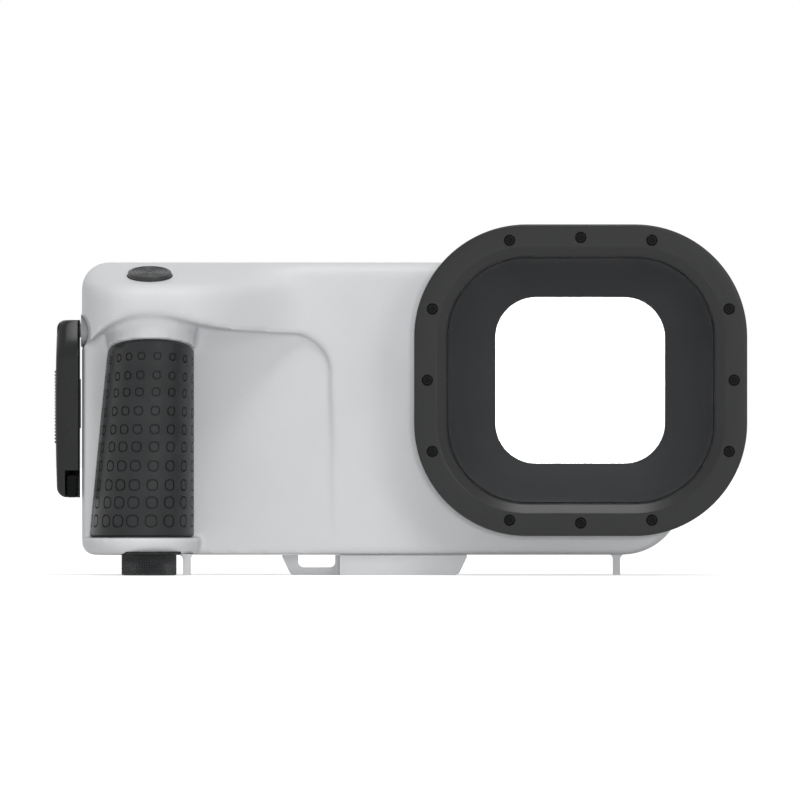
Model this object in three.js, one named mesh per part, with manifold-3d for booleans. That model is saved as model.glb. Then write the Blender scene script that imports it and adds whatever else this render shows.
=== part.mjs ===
// Dive housing that turns a smartphone into an underwater camera, in millimetres.
// X runs along the housing, Y from the port in front to the door behind, Z up.
// The origin is the middle of the ground that the feet, rail and vent cap stand on.
import * as THREE from 'three';
import { mergeVertices } from 'three/addons/utils/BufferGeometryUtils.js';
import Module from 'manifold-3d';

const wasm = await Module();
wasm.setup();

// Overall sizes
const overallLength = 221.2;
const overallDepth = 71;
const portWidth = 106.2;
const portHeight = 99.4;
const portCentreHeight = 62.3;
const portCornerRadius = 35.8;
const portProjection = 27;
const portOverhang = 20.1;
const bodyHeight = 93.5;
const groundClearance = 6.5;
const shellDepth = 27;
const doorDepth = 12.7;
const keyProud = 4;
const leverThickness = 8.1;

// Walls, gaps and the overrun that every cut uses
const sideWall = 5.5;
const frontWall = 4;
const seamGap = 0.3;
const seatGap = 0.3;
const runGap = 0.35;
const cutOver = 3;

// Round stretches: steps of a corner, of a small turned piece and of a large one
const cornerSteps = 7;
const hiddenSteps = 4;
const hiddenSides = 8;
const smallSides = 12;
const midSides = 20;
const largeSides = 28;
const hexSides = 6;

// Datum planes that follow from the overall sizes
const portFrontY = -overallDepth / 2;
const panelY = portFrontY + portProjection;
const splitY = panelY + shellDepth;
const doorFrontY = splitY + seamGap;
const doorBackY = doorFrontY + doorDepth;
const keyTopY = doorBackY + keyProud;
const portCentreX = (overallLength - portWidth) / 2;
const leverOuterX = -overallLength / 2;
const leverGap = 0.7;
const leverInnerX = leverOuterX + leverThickness;
const bodyLeft = leverInnerX + leverGap;
const bodyRight = overallLength / 2 - portOverhang;
const bodyBottom = groundClearance;
const bodyTop = bodyBottom + bodyHeight;
const cavityFrontY = panelY + frontWall;
const cavityLeft = bodyLeft + sideWall;
const cavityRight = bodyRight - sideWall;
const cavityBottom = bodyBottom + sideWall;
const cavityTop = bodyTop - sideWall;

// Materials, one look each
const look = {
  casing: { color: 0xcfd0d2, roughness: 0.5, metalness: 0 },
  blackPlastic: { color: 0x2b2c2e, roughness: 0.55, metalness: 0 },
  portBlack: { color: 0x3a3b3d, roughness: 0.5, metalness: 0 },
  rubber: { color: 0x2e2f31, roughness: 0.85, metalness: 0 },
  seal: { color: 0x1c1c1d, roughness: 0.7, metalness: 0 },
  clear: { color: 0xe4eef0, roughness: 0.05, metalness: 0, transparent: true, opacity: 0.3 },
  steel: { color: 0xb4b6b8, roughness: 0.35, metalness: 1 },
  blackSteel: { color: 0x18191b, roughness: 0.45, metalness: 1 },
  brass: { color: 0xb08d4a, roughness: 0.35, metalness: 1 },
  board: { color: 0x1f5a3a, roughness: 0.6, metalness: 0 },
  cellWrap: { color: 0x3f6f9c, roughness: 0.4, metalness: 0 },
};

// Signed volume of an indexed closed geometry, used to turn its faces out
function signedVolume(points, index) {
  const corners = [new THREE.Vector3(), new THREE.Vector3(), new THREE.Vector3()];
  let volume = 0;
  for (let i = 0; i < index.length; i += 3) {
    corners.forEach((corner, k) => corner.fromArray(points, index[i + k] * 3));
    volume += corners[0].dot(corners[1].clone().cross(corners[2]));
  }
  return volume / 6;
}

// A closed three.js geometry as a solid for the booleans
function solidOf(geometry) {
  geometry.deleteAttribute('normal');
  geometry.deleteAttribute('uv');
  const welded = mergeVertices(geometry);
  const points = welded.attributes.position.array;
  const faces = [];
  const index = welded.index.array;
  for (let i = 0; i < index.length; i += 3) {
    const [a, b, c] = [index[i], index[i + 1], index[i + 2]];
    if (a !== b && b !== c && c !== a) faces.push(a, b, c);
  }
  if (signedVolume(points, faces) < 0) {
    for (let i = 0; i < faces.length; i += 3) [faces[i + 1], faces[i + 2]] = [faces[i + 2], faces[i + 1]];
  }
  const triVerts = new Uint32Array(faces);
  return new wasm.Manifold(new wasm.Mesh({ numProp: 3, vertProperties: points, triVerts }));
}

// A solid back as a three.js mesh with its own material
function meshOf(name, solid, finish) {
  const { vertProperties, triVerts } = solid.getMesh();
  const geometry = new THREE.BufferGeometry();
  geometry.setAttribute('position', new THREE.BufferAttribute(new Float32Array(vertProperties), 3));
  geometry.setIndex(new THREE.BufferAttribute(new Uint32Array(triVerts), 1));
  const flat = geometry.toNonIndexed();
  flat.computeVertexNormals();
  const mesh = new THREE.Mesh(flat, new THREE.MeshStandardMaterial(finish));
  mesh.name = name;
  return mesh;
}

const union = (solids) => solids.reduce((all, next) => all.add(next));
const without = (solid, cuts) => cuts.reduce((rest, cut) => rest.subtract(cut), solid);
const mix = (from, to, share) => from + (to - from) * share;

// A block between two values on each axis
function block([x0, x1], [y0, y1], [z0, z1]) {
  const box = new THREE.BoxGeometry(x1 - x0, y1 - y0, z1 - z0);
  box.translate((x0 + x1) / 2, (y0 + y1) / 2, (z0 + z1) / 2);
  return solidOf(box);
}

// Rotations that lay a geometry built along Y or Z on another axis
const latheTurns = { x: [0, 0, -Math.PI / 2], y: [0, 0, 0], z: [Math.PI / 2, 0, 0] };

// A turned piece: profile of [radius, height] along an axis, set on a centre
function turned(profile, axis, [x, y, z], sides) {
  const points = profile.map(([radius, height]) => new THREE.Vector2(radius, height));
  const geometry = new THREE.LatheGeometry(points, sides);
  const [turnX, turnY, turnZ] = latheTurns[axis];
  geometry.applyMatrix4(new THREE.Matrix4().makeRotationFromEuler(new THREE.Euler(turnX, turnY, turnZ)));
  geometry.translate(x, y, z);
  return solidOf(geometry);
}

// A round bar between two heights on an axis
const bar = (radius, low, high, axis, centre, sides) =>
  turned([[0, low], [radius, low], [radius, high], [0, high]], axis, centre, sides);

// A tube between two heights on an axis
const tube = (inner, outer, low, high, axis, centre, sides) =>
  turned([[inner, low], [outer, low], [outer, high], [inner, high], [inner, low]], axis, centre, sides);

// An O-ring with a six-sided section about an axis
function ring(inner, outer, middle, axis, centre, sides) {
  const radius = (outer - inner) / 2;
  const profile = [];
  for (let i = 0; i <= hexSides; i += 1) {
    const angle = (i % hexSides) * Math.PI * 2 / hexSides;
    profile.push([(inner + outer) / 2 + radius * Math.cos(angle), middle + radius * Math.sin(angle)]);
  }
  return turned(profile, axis, centre, sides);
}

// A flat outline pushed straight along an axis; outline axes follow in the order X, Y, Z
function prism(outline, axis, low, high) {
  const shape = new THREE.Shape(outline.map(([u, v]) => new THREE.Vector2(u, v)));
  const geometry = new THREE.ExtrudeGeometry(shape, { depth: high - low, bevelEnabled: false });
  geometry.translate(0, 0, low);
  const [alongX, alongY, alongZ] = [[1, 0, 0], [0, 1, 0], [0, 0, 1]].map((v) => new THREE.Vector3(...v));
  const basis = new THREE.Matrix4();
  if (axis === 'x') basis.makeBasis(alongY, alongZ, alongX);
  if (axis === 'y') basis.makeBasis(alongX, alongZ, alongY);
  geometry.applyMatrix4(basis);
  return solidOf(geometry);
}

// A closed skin through rings of [x, y, z] points; a looped one joins its last ring to its first
function loft(rings, looped = false, capCentre = null) {
  const count = rings[0].length;
  const points = rings.flat(2);
  const faces = [];
  const spans = looped ? rings.length : rings.length - 1;
  for (let i = 0; i < spans; i += 1) {
    const next = (i + 1) % rings.length;
    for (let j = 0; j < count; j += 1) {
      const k = (j + 1) % count;
      faces.push(i * count + j, i * count + k, next * count + k);
      faces.push(i * count + j, next * count + k, next * count + j);
    }
  }
  if (!looped) {
    [0, rings.length - 1].forEach((at, end) => {
      const hub = capCentre ? capCentre(rings[at]) : middleOf(rings[at]);
      const hubIndex = points.length / 3;
      points.push(...hub);
      for (let j = 0; j < count; j += 1) {
        const k = (j + 1) % count;
        if (end === 0) faces.push(at * count + k, at * count + j, hubIndex);
        else faces.push(at * count + j, at * count + k, hubIndex);
      }
    });
  }
  const geometry = new THREE.BufferGeometry();
  geometry.setAttribute('position', new THREE.Float32BufferAttribute(points, 3));
  geometry.setIndex(faces);
  return solidOf(geometry);
}

// The mean of a ring's points
function middleOf(points) {
  const sum = points.reduce((all, p) => all.map((value, k) => value + p[k]), [0, 0, 0]);
  return sum.map((value) => value / points.length);
}

// The points of an outline whose corners [u, v, radius] are rounded by arcs
function roundedOutline(corners, steps = cornerSteps) {
  const outline = [];
  corners.forEach(([u, v, radius], i) => {
    const [before, after] = [corners.at(i - 1), corners[(i + 1) % corners.length]];
    const back = new THREE.Vector2(before[0] - u, before[1] - v).normalize();
    const ahead = new THREE.Vector2(after[0] - u, after[1] - v).normalize();
    const half = Math.acos(THREE.MathUtils.clamp(back.dot(ahead), -1, 1)) / 2;
    const toCentre = back.clone().add(ahead).normalize().multiplyScalar(radius / Math.sin(half));
    const centre = new THREE.Vector2(u, v).add(toCentre);
    const start = new THREE.Vector2(u, v).addScaledVector(back, radius / Math.tan(half)).sub(centre);
    const turn = Math.PI - half * 2;
    const sense = back.cross(ahead) > 0 ? -1 : 1;
    for (let s = 0; s <= steps; s += 1) {
      const spoke = start.clone().rotateAround(new THREE.Vector2(), sense * turn * s / steps);
      outline.push([centre.x + spoke.x, centre.y + spoke.y]);
    }
  });
  return outline;
}

// The corners of an upright rectangle, from the lower left corner round
const rectangle = (left, right, low, high, radii) => [
  [left, low, radii[0]], [right, low, radii[1]], [right, high, radii[2]], [left, high, radii[3]],
];

// The same corners moved in by a distance, out when it is negative
const leastRadius = 0.6;
function movedIn(corners, distance) {
  const [middleU, middleV] = middleOf(corners);
  return corners.map(([u, v, radius]) => [
    u < middleU ? u + distance : u - distance,
    v < middleV ? v + distance : v - distance,
    Math.max(radius - distance, leastRadius),
  ]);
}

// A ring of an upright outline at one depth Y
const atDepth = (corners, y, steps) => roundedOutline(corners, steps).map(([x, z]) => [x, y, z]);

// The body's outline, whose left side leans in towards the top
const cornerTopLeft = 8.5;
const cornerBottomLeft = 4;
const cornerRight = 19.5;
const bodyCorners = rectangle(bodyLeft, bodyRight, bodyBottom, bodyTop,
  [cornerBottomLeft, cornerRight, cornerRight, cornerTopLeft]);
const bodyEdgeRadius = 4.5;

// The port's outlines: a rounded square moved in from the frame's edge
const portCorners = rectangle(portCentreX - portWidth / 2, portCentreX + portWidth / 2,
  portCentreHeight - portHeight / 2, portCentreHeight + portHeight / 2,
  [portCornerRadius, portCornerRadius, portCornerRadius, portCornerRadius]);
const windowWidth = 54.2;
const windowHeight = 53.2;
const windowCornerRadius = 13.1;
const windowCorners = rectangle(portCentreX - windowWidth / 2, portCentreX + windowWidth / 2,
  portCentreHeight - windowHeight / 2, portCentreHeight + windowHeight / 2,
  [windowCornerRadius, windowCornerRadius, windowCornerRadius, windowCornerRadius]);

// Port stack from the casing's ledge forward: gasket, glass, funnel end
const ledgeDepth = 1;
const glassGasketThickness = 0.8;
const glassThickness = 4;
const glassLand = 4.8;
const ledgeY = panelY + ledgeDepth;
const glassBackY = ledgeY - glassGasketThickness - seatGap * 2;
const glassFrontY = glassBackY - glassThickness;
const funnelEndY = glassFrontY - seatGap;

// Port frame: a flat band with a lip, and a funnel down to the window
const flangeThickness = 8;
const rimFillet = 0.8;
const bandWidth = 7.2;
const lipWidth = 3.1;
const lipDrop = 1.8;
const recessStep = 1.6;
const recessStepWidth = 0.6;
const funnelWall = 3.2;
const funnelBellyShare = 0.42;
const funnelBellyDepthShare = 0.6;
const flangeBackY = portFrontY + flangeThickness;
const towerFrontY = flangeBackY + seamGap;
const funnelMouth = movedIn(portCorners, bandWidth + lipWidth + recessStepWidth);
const funnelMouthY = portFrontY + lipDrop + recessStep;
const mixCorners = (from, to, share) =>
  from.map((corner, i) => corner.map((value, k) => mix(value, to[i][k], share)));

// Where the funnel stands at a depth, as corners; used by the frame and by the tower's tunnel
const funnelAt = (depthShare) => mixCorners(funnelMouth, windowCorners, depthShare);
const tunnelMouthShare = (flangeBackY - funnelMouthY) / (funnelEndY - funnelMouthY);
const funnelBack = movedIn(funnelAt(tunnelMouthShare), -funnelWall);
const funnelTail = movedIn(windowCorners, -funnelWall);

// Socket screws of the port frame: three along each side, at shares of the frame's half sizes
const screwHeadRadius = 1.6;
const screwHeadHeight = 1.9;
const screwHeadSink = 0.35;
const screwShankRadius = 0.9;
const screwLength = 13;
const screwSocketRadius = 0.85;
const screwSocketDepth = 1.1;
const screwHoleGap = 0.25;
const screwInset = 4.2;
const screwCornerInset = 5.1;
const screwUprightInset = 5.8;
const screwSideShare = 0.427;
const screwUprightShare = 0.457;

function screwPlaces() {
  const [halfX, halfZ] = [portWidth / 2, portHeight / 2];
  const places = [];
  for (const side of [1, -1]) {
    for (const step of [-1, 0, 1]) {
      const inset = step === 0 ? screwInset : screwCornerInset;
      places.push([portCentreX + step * halfX * screwSideShare, portCentreHeight + side * (halfZ - inset)]);
    }
  }
  for (const side of [-1, 1]) {
    for (const step of [1, 0, -1]) {
      const inset = step === 0 ? screwInset : screwUprightInset;
      const z = portCentreHeight + step * halfZ * screwUprightShare;
      places.push([portCentreX + side * (halfX - inset), z]);
    }
  }
  return places;
}

function portFrame() {
  const skin = [
    atDepth(portCorners, portFrontY + rimFillet),
    atDepth(movedIn(portCorners, rimFillet), portFrontY),
    atDepth(movedIn(portCorners, bandWidth), portFrontY),
    atDepth(movedIn(portCorners, bandWidth + lipWidth), portFrontY + lipDrop),
    atDepth(funnelMouth, funnelMouthY),
    atDepth(funnelAt(funnelBellyShare), mix(funnelMouthY, funnelEndY, funnelBellyDepthShare)),
    atDepth(windowCorners, funnelEndY),
    atDepth(funnelTail, funnelEndY),
    atDepth(funnelBack, flangeBackY),
    atDepth(portCorners, flangeBackY),
  ];
  const holes = screwPlaces().map(([x, z]) => turned([
    [0, portFrontY - cutOver], [screwHeadRadius + screwHoleGap, portFrontY - cutOver],
    [screwHeadRadius + screwHoleGap, portFrontY + screwHeadSink + screwHeadHeight + screwHoleGap],
    [screwShankRadius + screwHoleGap, portFrontY + screwHeadSink + screwHeadHeight + screwHoleGap],
    [screwShankRadius + screwHoleGap, flangeBackY + cutOver], [0, flangeBackY + cutOver],
  ], 'y', [x, 0, z], smallSides));
  return without(loft(skin, true), holes);
}

function portScrew([x, z]) {
  const headTop = portFrontY + screwHeadSink;
  const body = turned([
    [0, headTop], [screwHeadRadius, headTop], [screwHeadRadius, headTop + screwHeadHeight],
    [screwShankRadius, headTop + screwHeadHeight], [screwShankRadius, headTop + screwLength],
    [0, headTop + screwLength],
  ], 'y', [x, 0, z], smallSides);
  const socket = bar(screwSocketRadius, headTop - cutOver, headTop + screwSocketDepth, 'y', [x, 0, z],
    hexSides);
  return body.subtract(socket);
}

// Finger pocket beside the grip: its floor slopes up to the right and towards the bottom
const pocketReach = 81;
const pocketDepth = 6;
const pocketRise = 4;
const pocketRiseDown = 1.9;
const pocketCornerRadius = 13;
const pocketEdgeShare = 0.02;

// Grip: a D section that leans in on its left side towards the top
const gripWidthBottom = 33;
const gripWidthTop = 25.4;
const gripInset = 2.8;
const gripProjection = 22;
const shelfHeight = 5.8;
const gripTopSetback = 24.6;
const gripRimDrop = 3.3;
const gripRimPower = 3;
const gripBoxiness = 2.2;
const gripSteps = 14;
const sleeveThickness = 2.2;
const columnWall = 3;
const shelfGap = 0.3;
const gripBottomZ = bodyBottom + shelfHeight;
const gripRimZ = bodyTop - gripTopSetback;
const gripRightX = bodyLeft + gripInset + gripWidthBottom;
const gripBackY = panelY + pocketDepth + frontWall / 2;
const columnCore = sleeveThickness + seatGap;
const hollowInset = columnCore + columnWall;

function gripLeftX(z) {
  const width = mix(gripWidthBottom, gripWidthTop, (z - gripBottomZ) / (gripRimZ - gripBottomZ));
  return gripRightX - width;
}

// One D section: heightOf gives Z from the turn share, so that a rim can arch
function gripRing(z, grow, heightOf = () => z, backY = gripBackY) {
  const left = gripLeftX(z) - grow;
  const right = gripRightX + grow;
  const [centre, half] = [(left + right) / 2, (right - left) / 2];
  const points = [[left, backY, heightOf(0)]];
  for (let i = 0; i <= gripSteps; i += 1) {
    const angle = Math.PI * i / gripSteps;
    const [c, s] = [Math.cos(angle), Math.sin(angle)];
    const x = centre - half * Math.sign(c) * Math.abs(c) ** (2 / gripBoxiness);
    const y = panelY - (gripProjection + grow) * Math.max(s, 0) ** (2 / gripBoxiness);
    points.push([x, y, heightOf(s)]);
  }
  points.push([right, backY, heightOf(0)]);
  return points;
}

// Height of a level of the sleeve: flat at the bottom, arched at the rim
function archedHeight(share, lift = 0) {
  return (s) => mix(gripBottomZ, gripRimZ, share) + lift - gripRimDrop * share ** gripRimPower * (1 - s);
}

const sleeveFillet = 0.7;
const sleeveShares = [0, 0.25, 0.5, 0.75, 1];
function gripSleeve() {
  const rings = [gripRing(gripBottomZ, -sleeveFillet)];
  sleeveShares.forEach((share) => {
    const z = mix(gripBottomZ, gripRimZ, share);
    const lift = share === 0 ? sleeveFillet : share === 1 ? -sleeveFillet : 0;
    rings.push(gripRing(z, 0, archedHeight(share, lift)));
  });
  rings.push(gripRing(gripRimZ, -sleeveFillet, archedHeight(1)));
  const outer = loft(rings);
  const core = loft([
    gripRing(gripBottomZ, -sleeveThickness, () => gripBottomZ - cutOver, gripBackY + cutOver),
    gripRing(gripRimZ, -sleeveThickness, () => gripRimZ + cutOver, gripBackY + cutOver),
  ]);
  const panel = block([bodyLeft - cutOver, gripRightX + cutOver], [panelY + pocketDepth + cutOver, splitY],
    [gripBottomZ - cutOver, gripRimZ + cutOver]);
  return without(outer, [core, panel, casingBehindSleeve()]);
}

// The casing's front as the sleeve meets it, grown by the seat's gap
function casingBehindSleeve() {
  const face = block([bodyLeft - cutOver, gripRightX + cutOver * 2], [panelY - seatGap, splitY],
    [bodyBottom - cutOver, bodyTop]);
  return face.subtract(pocketCut(seatGap));
}

// Shoulder over the grip: it slopes down to the front and flows into the panel on the right
const crestSetback = 2;
const shoulderTilt = THREE.MathUtils.degToRad(16);
const browProjection = 26;
const browRadius = 6;
const shoulderTopTrim = 0.35;
const shoulderRootDepth = 0.1;
const shoulderWidth = 74;
const shoulderDrop = 40;
const shoulderLeftShare = 0.15;
const shoulderFlatShare = 0.41;
const shoulderBoxiness = 2.4;
const shoulderShares = [
  0, 0.003, 0.013, 0.03, 0.053, 0.083, 0.115, 0.15, 0.28,
  0.41, 0.47, 0.53, 0.59, 0.65, 0.71, 0.78, 0.85, 0.92, 1,
];
const slopeShares = [0, 0.25, 0.5, 0.75, 1];
const browShares = [0.2, 0.42, 0.66, 1];
const shoulderBottomZ = bodyTop - shoulderDrop;
const browY = panelY - browProjection;
const crestY = panelY + crestSetback;

// Left edge of the body at a height, round the top corner
function bodyLeftAt(z) {
  const centreZ = bodyTop - cornerTopLeft;
  if (z <= centreZ) return bodyLeft;
  return bodyLeft + cornerTopLeft - Math.sqrt(Math.max(cornerTopLeft ** 2 - (z - centreZ) ** 2, 0));
}

// Depth of the body's front at a height, back round its upper edge
function bodyFrontAt(z) {
  const over = Math.max(z - (bodyTop - bodyEdgeRadius), 0);
  return panelY + bodyEdgeRadius - Math.sqrt(Math.max(bodyEdgeRadius ** 2 - over ** 2, 0));
}

function shoulderRing(z, frontY) {
  const left = bodyLeftAt(z);
  const width = bodyLeft + shoulderWidth - left;
  const rootY = bodyFrontAt(z) + shoulderRootDepth;
  const points = [[left, splitY - cutOver, z]];
  shoulderShares.forEach((share) => {
    let reach = 1;
    if (share < shoulderLeftShare) {
      reach = (1 - (1 - share / shoulderLeftShare) ** shoulderBoxiness) ** (1 / shoulderBoxiness);
    } else if (share > shoulderFlatShare) {
      reach = 1 - THREE.MathUtils.smoothstep(share, shoulderFlatShare, 1);
    }
    points.push([left + width * share, mix(rootY, Math.min(frontY, rootY), reach), z]);
  });
  points.push([left + width, splitY - cutOver, z]);
  return points;
}

function shoulder() {
  const slopeAt = (y) => bodyTop - (crestY - y) * Math.tan(shoulderTilt);
  const slopeEndY = browY + browRadius * (1 - Math.sin(shoulderTilt));
  const arcCentreZ = slopeAt(slopeEndY) - browRadius * Math.cos(shoulderTilt);
  const levels = [];
  for (const share of slopeShares) {
    const y = mix(crestY - shoulderTopTrim / Math.tan(shoulderTilt), slopeEndY, share);
    levels.push([slopeAt(y), y]);
  }
  for (const share of browShares) {
    const angle = mix(Math.PI / 2 - shoulderTilt, 0, share);
    levels.push([arcCentreZ + browRadius * Math.sin(angle), browY + browRadius * (1 - Math.cos(angle))]);
  }
  levels.push([shoulderBottomZ, browY]);
  const flatPoint = shoulderShares.indexOf(shoulderFlatShare);
  const capCentre = (ringPoints) => [ringPoints[flatPoint][0], splitY - cutOver * 2, ringPoints[0][2]];
  const mass = loft(levels.map(([z, y]) => shoulderRing(z, y)), false, capCentre);
  return mass.subtract(belowArch());
}

// The arch under the shoulder, which runs on as the finger pocket's top edge.
// Shares of the pocket's length from the body's left edge, and of the body's height.
const archShares = [
  [0.045, 0.735], [0.101, 0.779], [0.185, 0.817], [0.277, 0.828], [0.363, 0.814], [0.462, 0.786],
  [0.623, 0.766], [0.82, 0.757],
];
const archSpans = 14;
const archCurve = new THREE.SplineCurve(archShares.map(([u, v]) =>
  new THREE.Vector2(bodyLeft + pocketReach * u, bodyBottom + bodyHeight * v)));
const archPoints = archCurve.getPoints(archSpans).map((point) => point.toArray());
const archCrown = archPoints.reduce((best, point) => (point[1] > best[1] ? point : best));

function belowArch() {
  const [first, last] = [archPoints[0], archPoints.at(-1)];
  const right = bodyLeft + pocketReach + cutOver;
  const outline = [
    [bodyLeft - cutOver, shoulderBottomZ - cutOver], [bodyLeft - cutOver, first[1] - cutOver],
    ...archPoints,
    [right, last[1]], [right, shoulderBottomZ - cutOver],
  ];
  return prism(outline, 'y', browY - cutOver, splitY + cutOver);
}

// Depth Y of the pocket's floor at a place on the panel
function pocketFloorY(x, z) {
  const across = (x - gripRightX) / (bodyLeft + pocketReach - gripRightX);
  const down = (archPoints.at(-1)[1] - z) / (archPoints.at(-1)[1] - bodyBottom);
  return panelY + pocketDepth - pocketRise * across - pocketRiseDown * down;
}

// A slab in front of the pocket's floor plane, moved back by an offset
function pocketSlab(left, right, low, high, offset) {
  const corners = [[left, low], [right, low], [right, high], [left, high]];
  return loft([
    corners.map(([x, z]) => [x, browY - cutOver, z]),
    corners.map(([x, z]) => [x, pocketFloorY(x, z) + offset, z]),
  ]);
}

function pocketCut(shrink = 0) {
  const right = bodyLeft + pocketReach;
  const middle = (gripLeftX(gripBottomZ) + gripRightX) / 2;
  const last = archPoints.at(-1);
  const corner = roundedOutline([
    [right - pocketReach * pocketEdgeShare, last[1], pocketCornerRadius],
    [right, bodyBottom - cutOver, leastRadius],
    [middle, bodyBottom - cutOver, leastRadius],
    [middle, last[1], leastRadius],
  ]).slice(0, cornerSteps + 1);
  const edge = archPoints.filter(([x]) => x > middle && x < corner[0][0]);
  const outline = [
    [middle, bodyBottom - cutOver], [middle, edge[0][1]], ...edge, ...corner, [right, bodyBottom - cutOver],
  ];
  const slab = pocketSlab(bodyLeft, right + cutOver, bodyBottom - cutOver * 2, bodyTop, -shrink);
  return prism(outline, 'y', browY - cutOver, splitY).intersect(slab);
}

// Column core, neck over the sleeve and shelf under it
const neckProud = 0.4;
const shelfProud = 2;
const shelfRadius = 3.4;
const neckTopShare = 0.9;
const shelfShares = [0, 0.3, 0.7, 1];
function gripColumn() {
  const neckTopZ = mix(bodyBottom, bodyTop, neckTopShare);
  const core = loft([
    gripRing(gripBottomZ, -columnCore, () => bodyBottom + shelfRadius),
    gripRing(gripRimZ, -columnCore, () => gripRimZ + cutOver),
  ]);
  const neck = loft([
    gripRing(gripRimZ, neckProud, archedHeight(1, seatGap)),
    gripRing(neckTopZ, neckProud, () => neckTopZ),
  ]);
  const shelfRings = shelfShares.map((share) => {
    const angle = share * Math.PI / 2;
    const grow = shelfProud - shelfRadius * (1 - Math.sin(angle));
    const z = bodyBottom + shelfRadius * (1 - Math.cos(angle));
    return gripRing(gripBottomZ, grow, () => z);
  });
  shelfRings.push(gripRing(gripBottomZ, shelfProud, () => gripBottomZ - shelfGap));
  return [core, neck, loft(shelfRings)];
}

// Hollow of the column, which holds the battery and the shutter's parts
const hollowFloor = 10.5;
const hollowRoof = 14;
const hollowBottomZ = bodyBottom + hollowFloor;
const hollowTopZ = bodyTop - hollowRoof;
function columnHollow() {
  return loft([
    gripRing(hollowBottomZ, -hollowInset, () => hollowBottomZ, cavityFrontY + cutOver),
    gripRing(hollowTopZ, -hollowInset, () => hollowTopZ, cavityFrontY + cutOver),
  ]);
}

// Tower that carries the port frame: nearly straight in front, drawn in to the body behind
const towerInset = 0.8;
const towerStraight = 8;
const towerStraightInset = 1.4;
const towerRootDepth = 15;
const towerRootInset = 2.6;
const towerRootLeftShare = 0.62;
const towerRootLowShare = 0.12;
const towerInwardShares = [0.3, 0.66];
const towerBackShares = [0.24, 0.54];
const towerRootRadius = 24;
const tunnelGap = 0.6;
const towerRootY = panelY + towerRootDepth;
function portTower() {
  const root = rectangle(mix(bodyLeft, bodyRight, towerRootLeftShare), bodyRight - towerRootInset,
    mix(bodyBottom, bodyTop, towerRootLowShare), bodyTop - towerRootInset,
    [towerRootRadius, towerRootRadius, towerRootRadius, towerRootRadius]);
  const front = movedIn(portCorners, towerStraightInset);
  const straightY = towerFrontY + towerStraight;
  const outer = [
    atDepth(movedIn(portCorners, towerInset), towerFrontY),
    atDepth(front, straightY),
    ...towerInwardShares.map((share, i) =>
      atDepth(mixCorners(front, root, share), mix(straightY, towerRootY, towerBackShares[i]))),
    atDepth(root, towerRootY),
  ];
  return loft(outer);
}

function portTunnel() {
  const mouth = movedIn(funnelBack, -tunnelGap);
  const seat = movedIn(windowCorners, -glassLand - runGap);
  const beyond = (flangeBackY - towerFrontY - cutOver) / (funnelEndY - flangeBackY);
  return loft([
    atDepth(mixCorners(mouth, seat, beyond), towerFrontY - cutOver),
    atDepth(mouth, flangeBackY),
    atDepth(seat, funnelEndY),
    atDepth(seat, ledgeY),
  ]);
}

function screwHoles() {
  const depth = portFrontY + screwHeadSink + screwLength + seatGap;
  return screwPlaces().map(([x, z]) =>
    bar(screwShankRadius + screwHoleGap, towerFrontY - cutOver, depth, 'y', [x, 0, z], hiddenSides));
}

// Feet: thin ribs under the body that run front to back
const footWidth = 2.2;
const footLeftInset = 33.5;
const footRightInset = 21.3;
const footFillet = 1.2;
const footLeftFront = 14;
const footBackInset = 3;
function foot(x, frontY) {
  const half = footWidth / 2;
  const outline = [
    [x - half, 0], [x + half, 0], [x + half, bodyBottom - footFillet],
    [x + half + footFillet, bodyBottom + seamGap], [x - half - footFillet, bodyBottom + seamGap],
    [x - half, bodyBottom - footFillet],
  ];
  return prism(outline, 'y', frontY, splitY - footBackInset);
}

// Shutter button on the shoulder's slope; its own axis leans forward by the slope's tilt
const shutterInset = 21.8;
const shutterDownSlope = 15.75;
const shutterRadius = 7;
const shutterProud = 1.5;
const shutterSkirt = 1.7;
const shutterTravel = 1.2;
const shutterWellGap = 0.35;
const shutterStemRadius = 2;
const shutterStemLength = 17;
const shutterBossLength = 13;
const shutterBossRadius = 5.6;
const shutterSpringInner = 2.5;
const shutterSpringOuter = 3.6;
const shutterSpringDepth = 8;
const sealOuter = 3.3;
const sealHeight = 1.2;
const glandGap = 0.3;
const clipRadius = 3.4;
const clipThickness = 0.7;
const stemGap = 0.15;
const shutterWell = shutterSkirt + shutterTravel + seatGap;

// The tilted frame of the shutter: origin on the slope, Z along the button's axis
const shutterFrame = new THREE.Matrix4().makeRotationX(shoulderTilt).setPosition(
  bodyLeft + shutterInset,
  crestY - shutterDownSlope * Math.cos(shoulderTilt),
  bodyTop - shutterDownSlope * Math.sin(shoulderTilt),
);
const inShutterFrame = (solid) => solid.transform([...shutterFrame.elements]);

function shutterCuts() {
  const centre = [0, 0, 0];
  const glandTop = -shutterSpringDepth - columnWall / 2;
  const cuts = [
    bar(shutterRadius + shutterWellGap, -shutterWell, cutOver, 'z', centre, largeSides),
    bar(shutterSpringOuter + glandGap, -shutterSpringDepth, 0, 'z', centre, smallSides),
    bar(sealOuter + glandGap, glandTop - sealHeight - glandGap * 2, glandTop, 'z', centre, smallSides),
    bar(shutterStemRadius + stemGap, -shutterBossLength - cutOver, 0, 'z', centre, smallSides),
  ];
  return inShutterFrame(union(cuts));
}

const shutterBoss = () => inShutterFrame(
  bar(shutterBossRadius, -shutterBossLength, -shutterSpringDepth / 2, 'z', [0, 0, 0], midSides));

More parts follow.
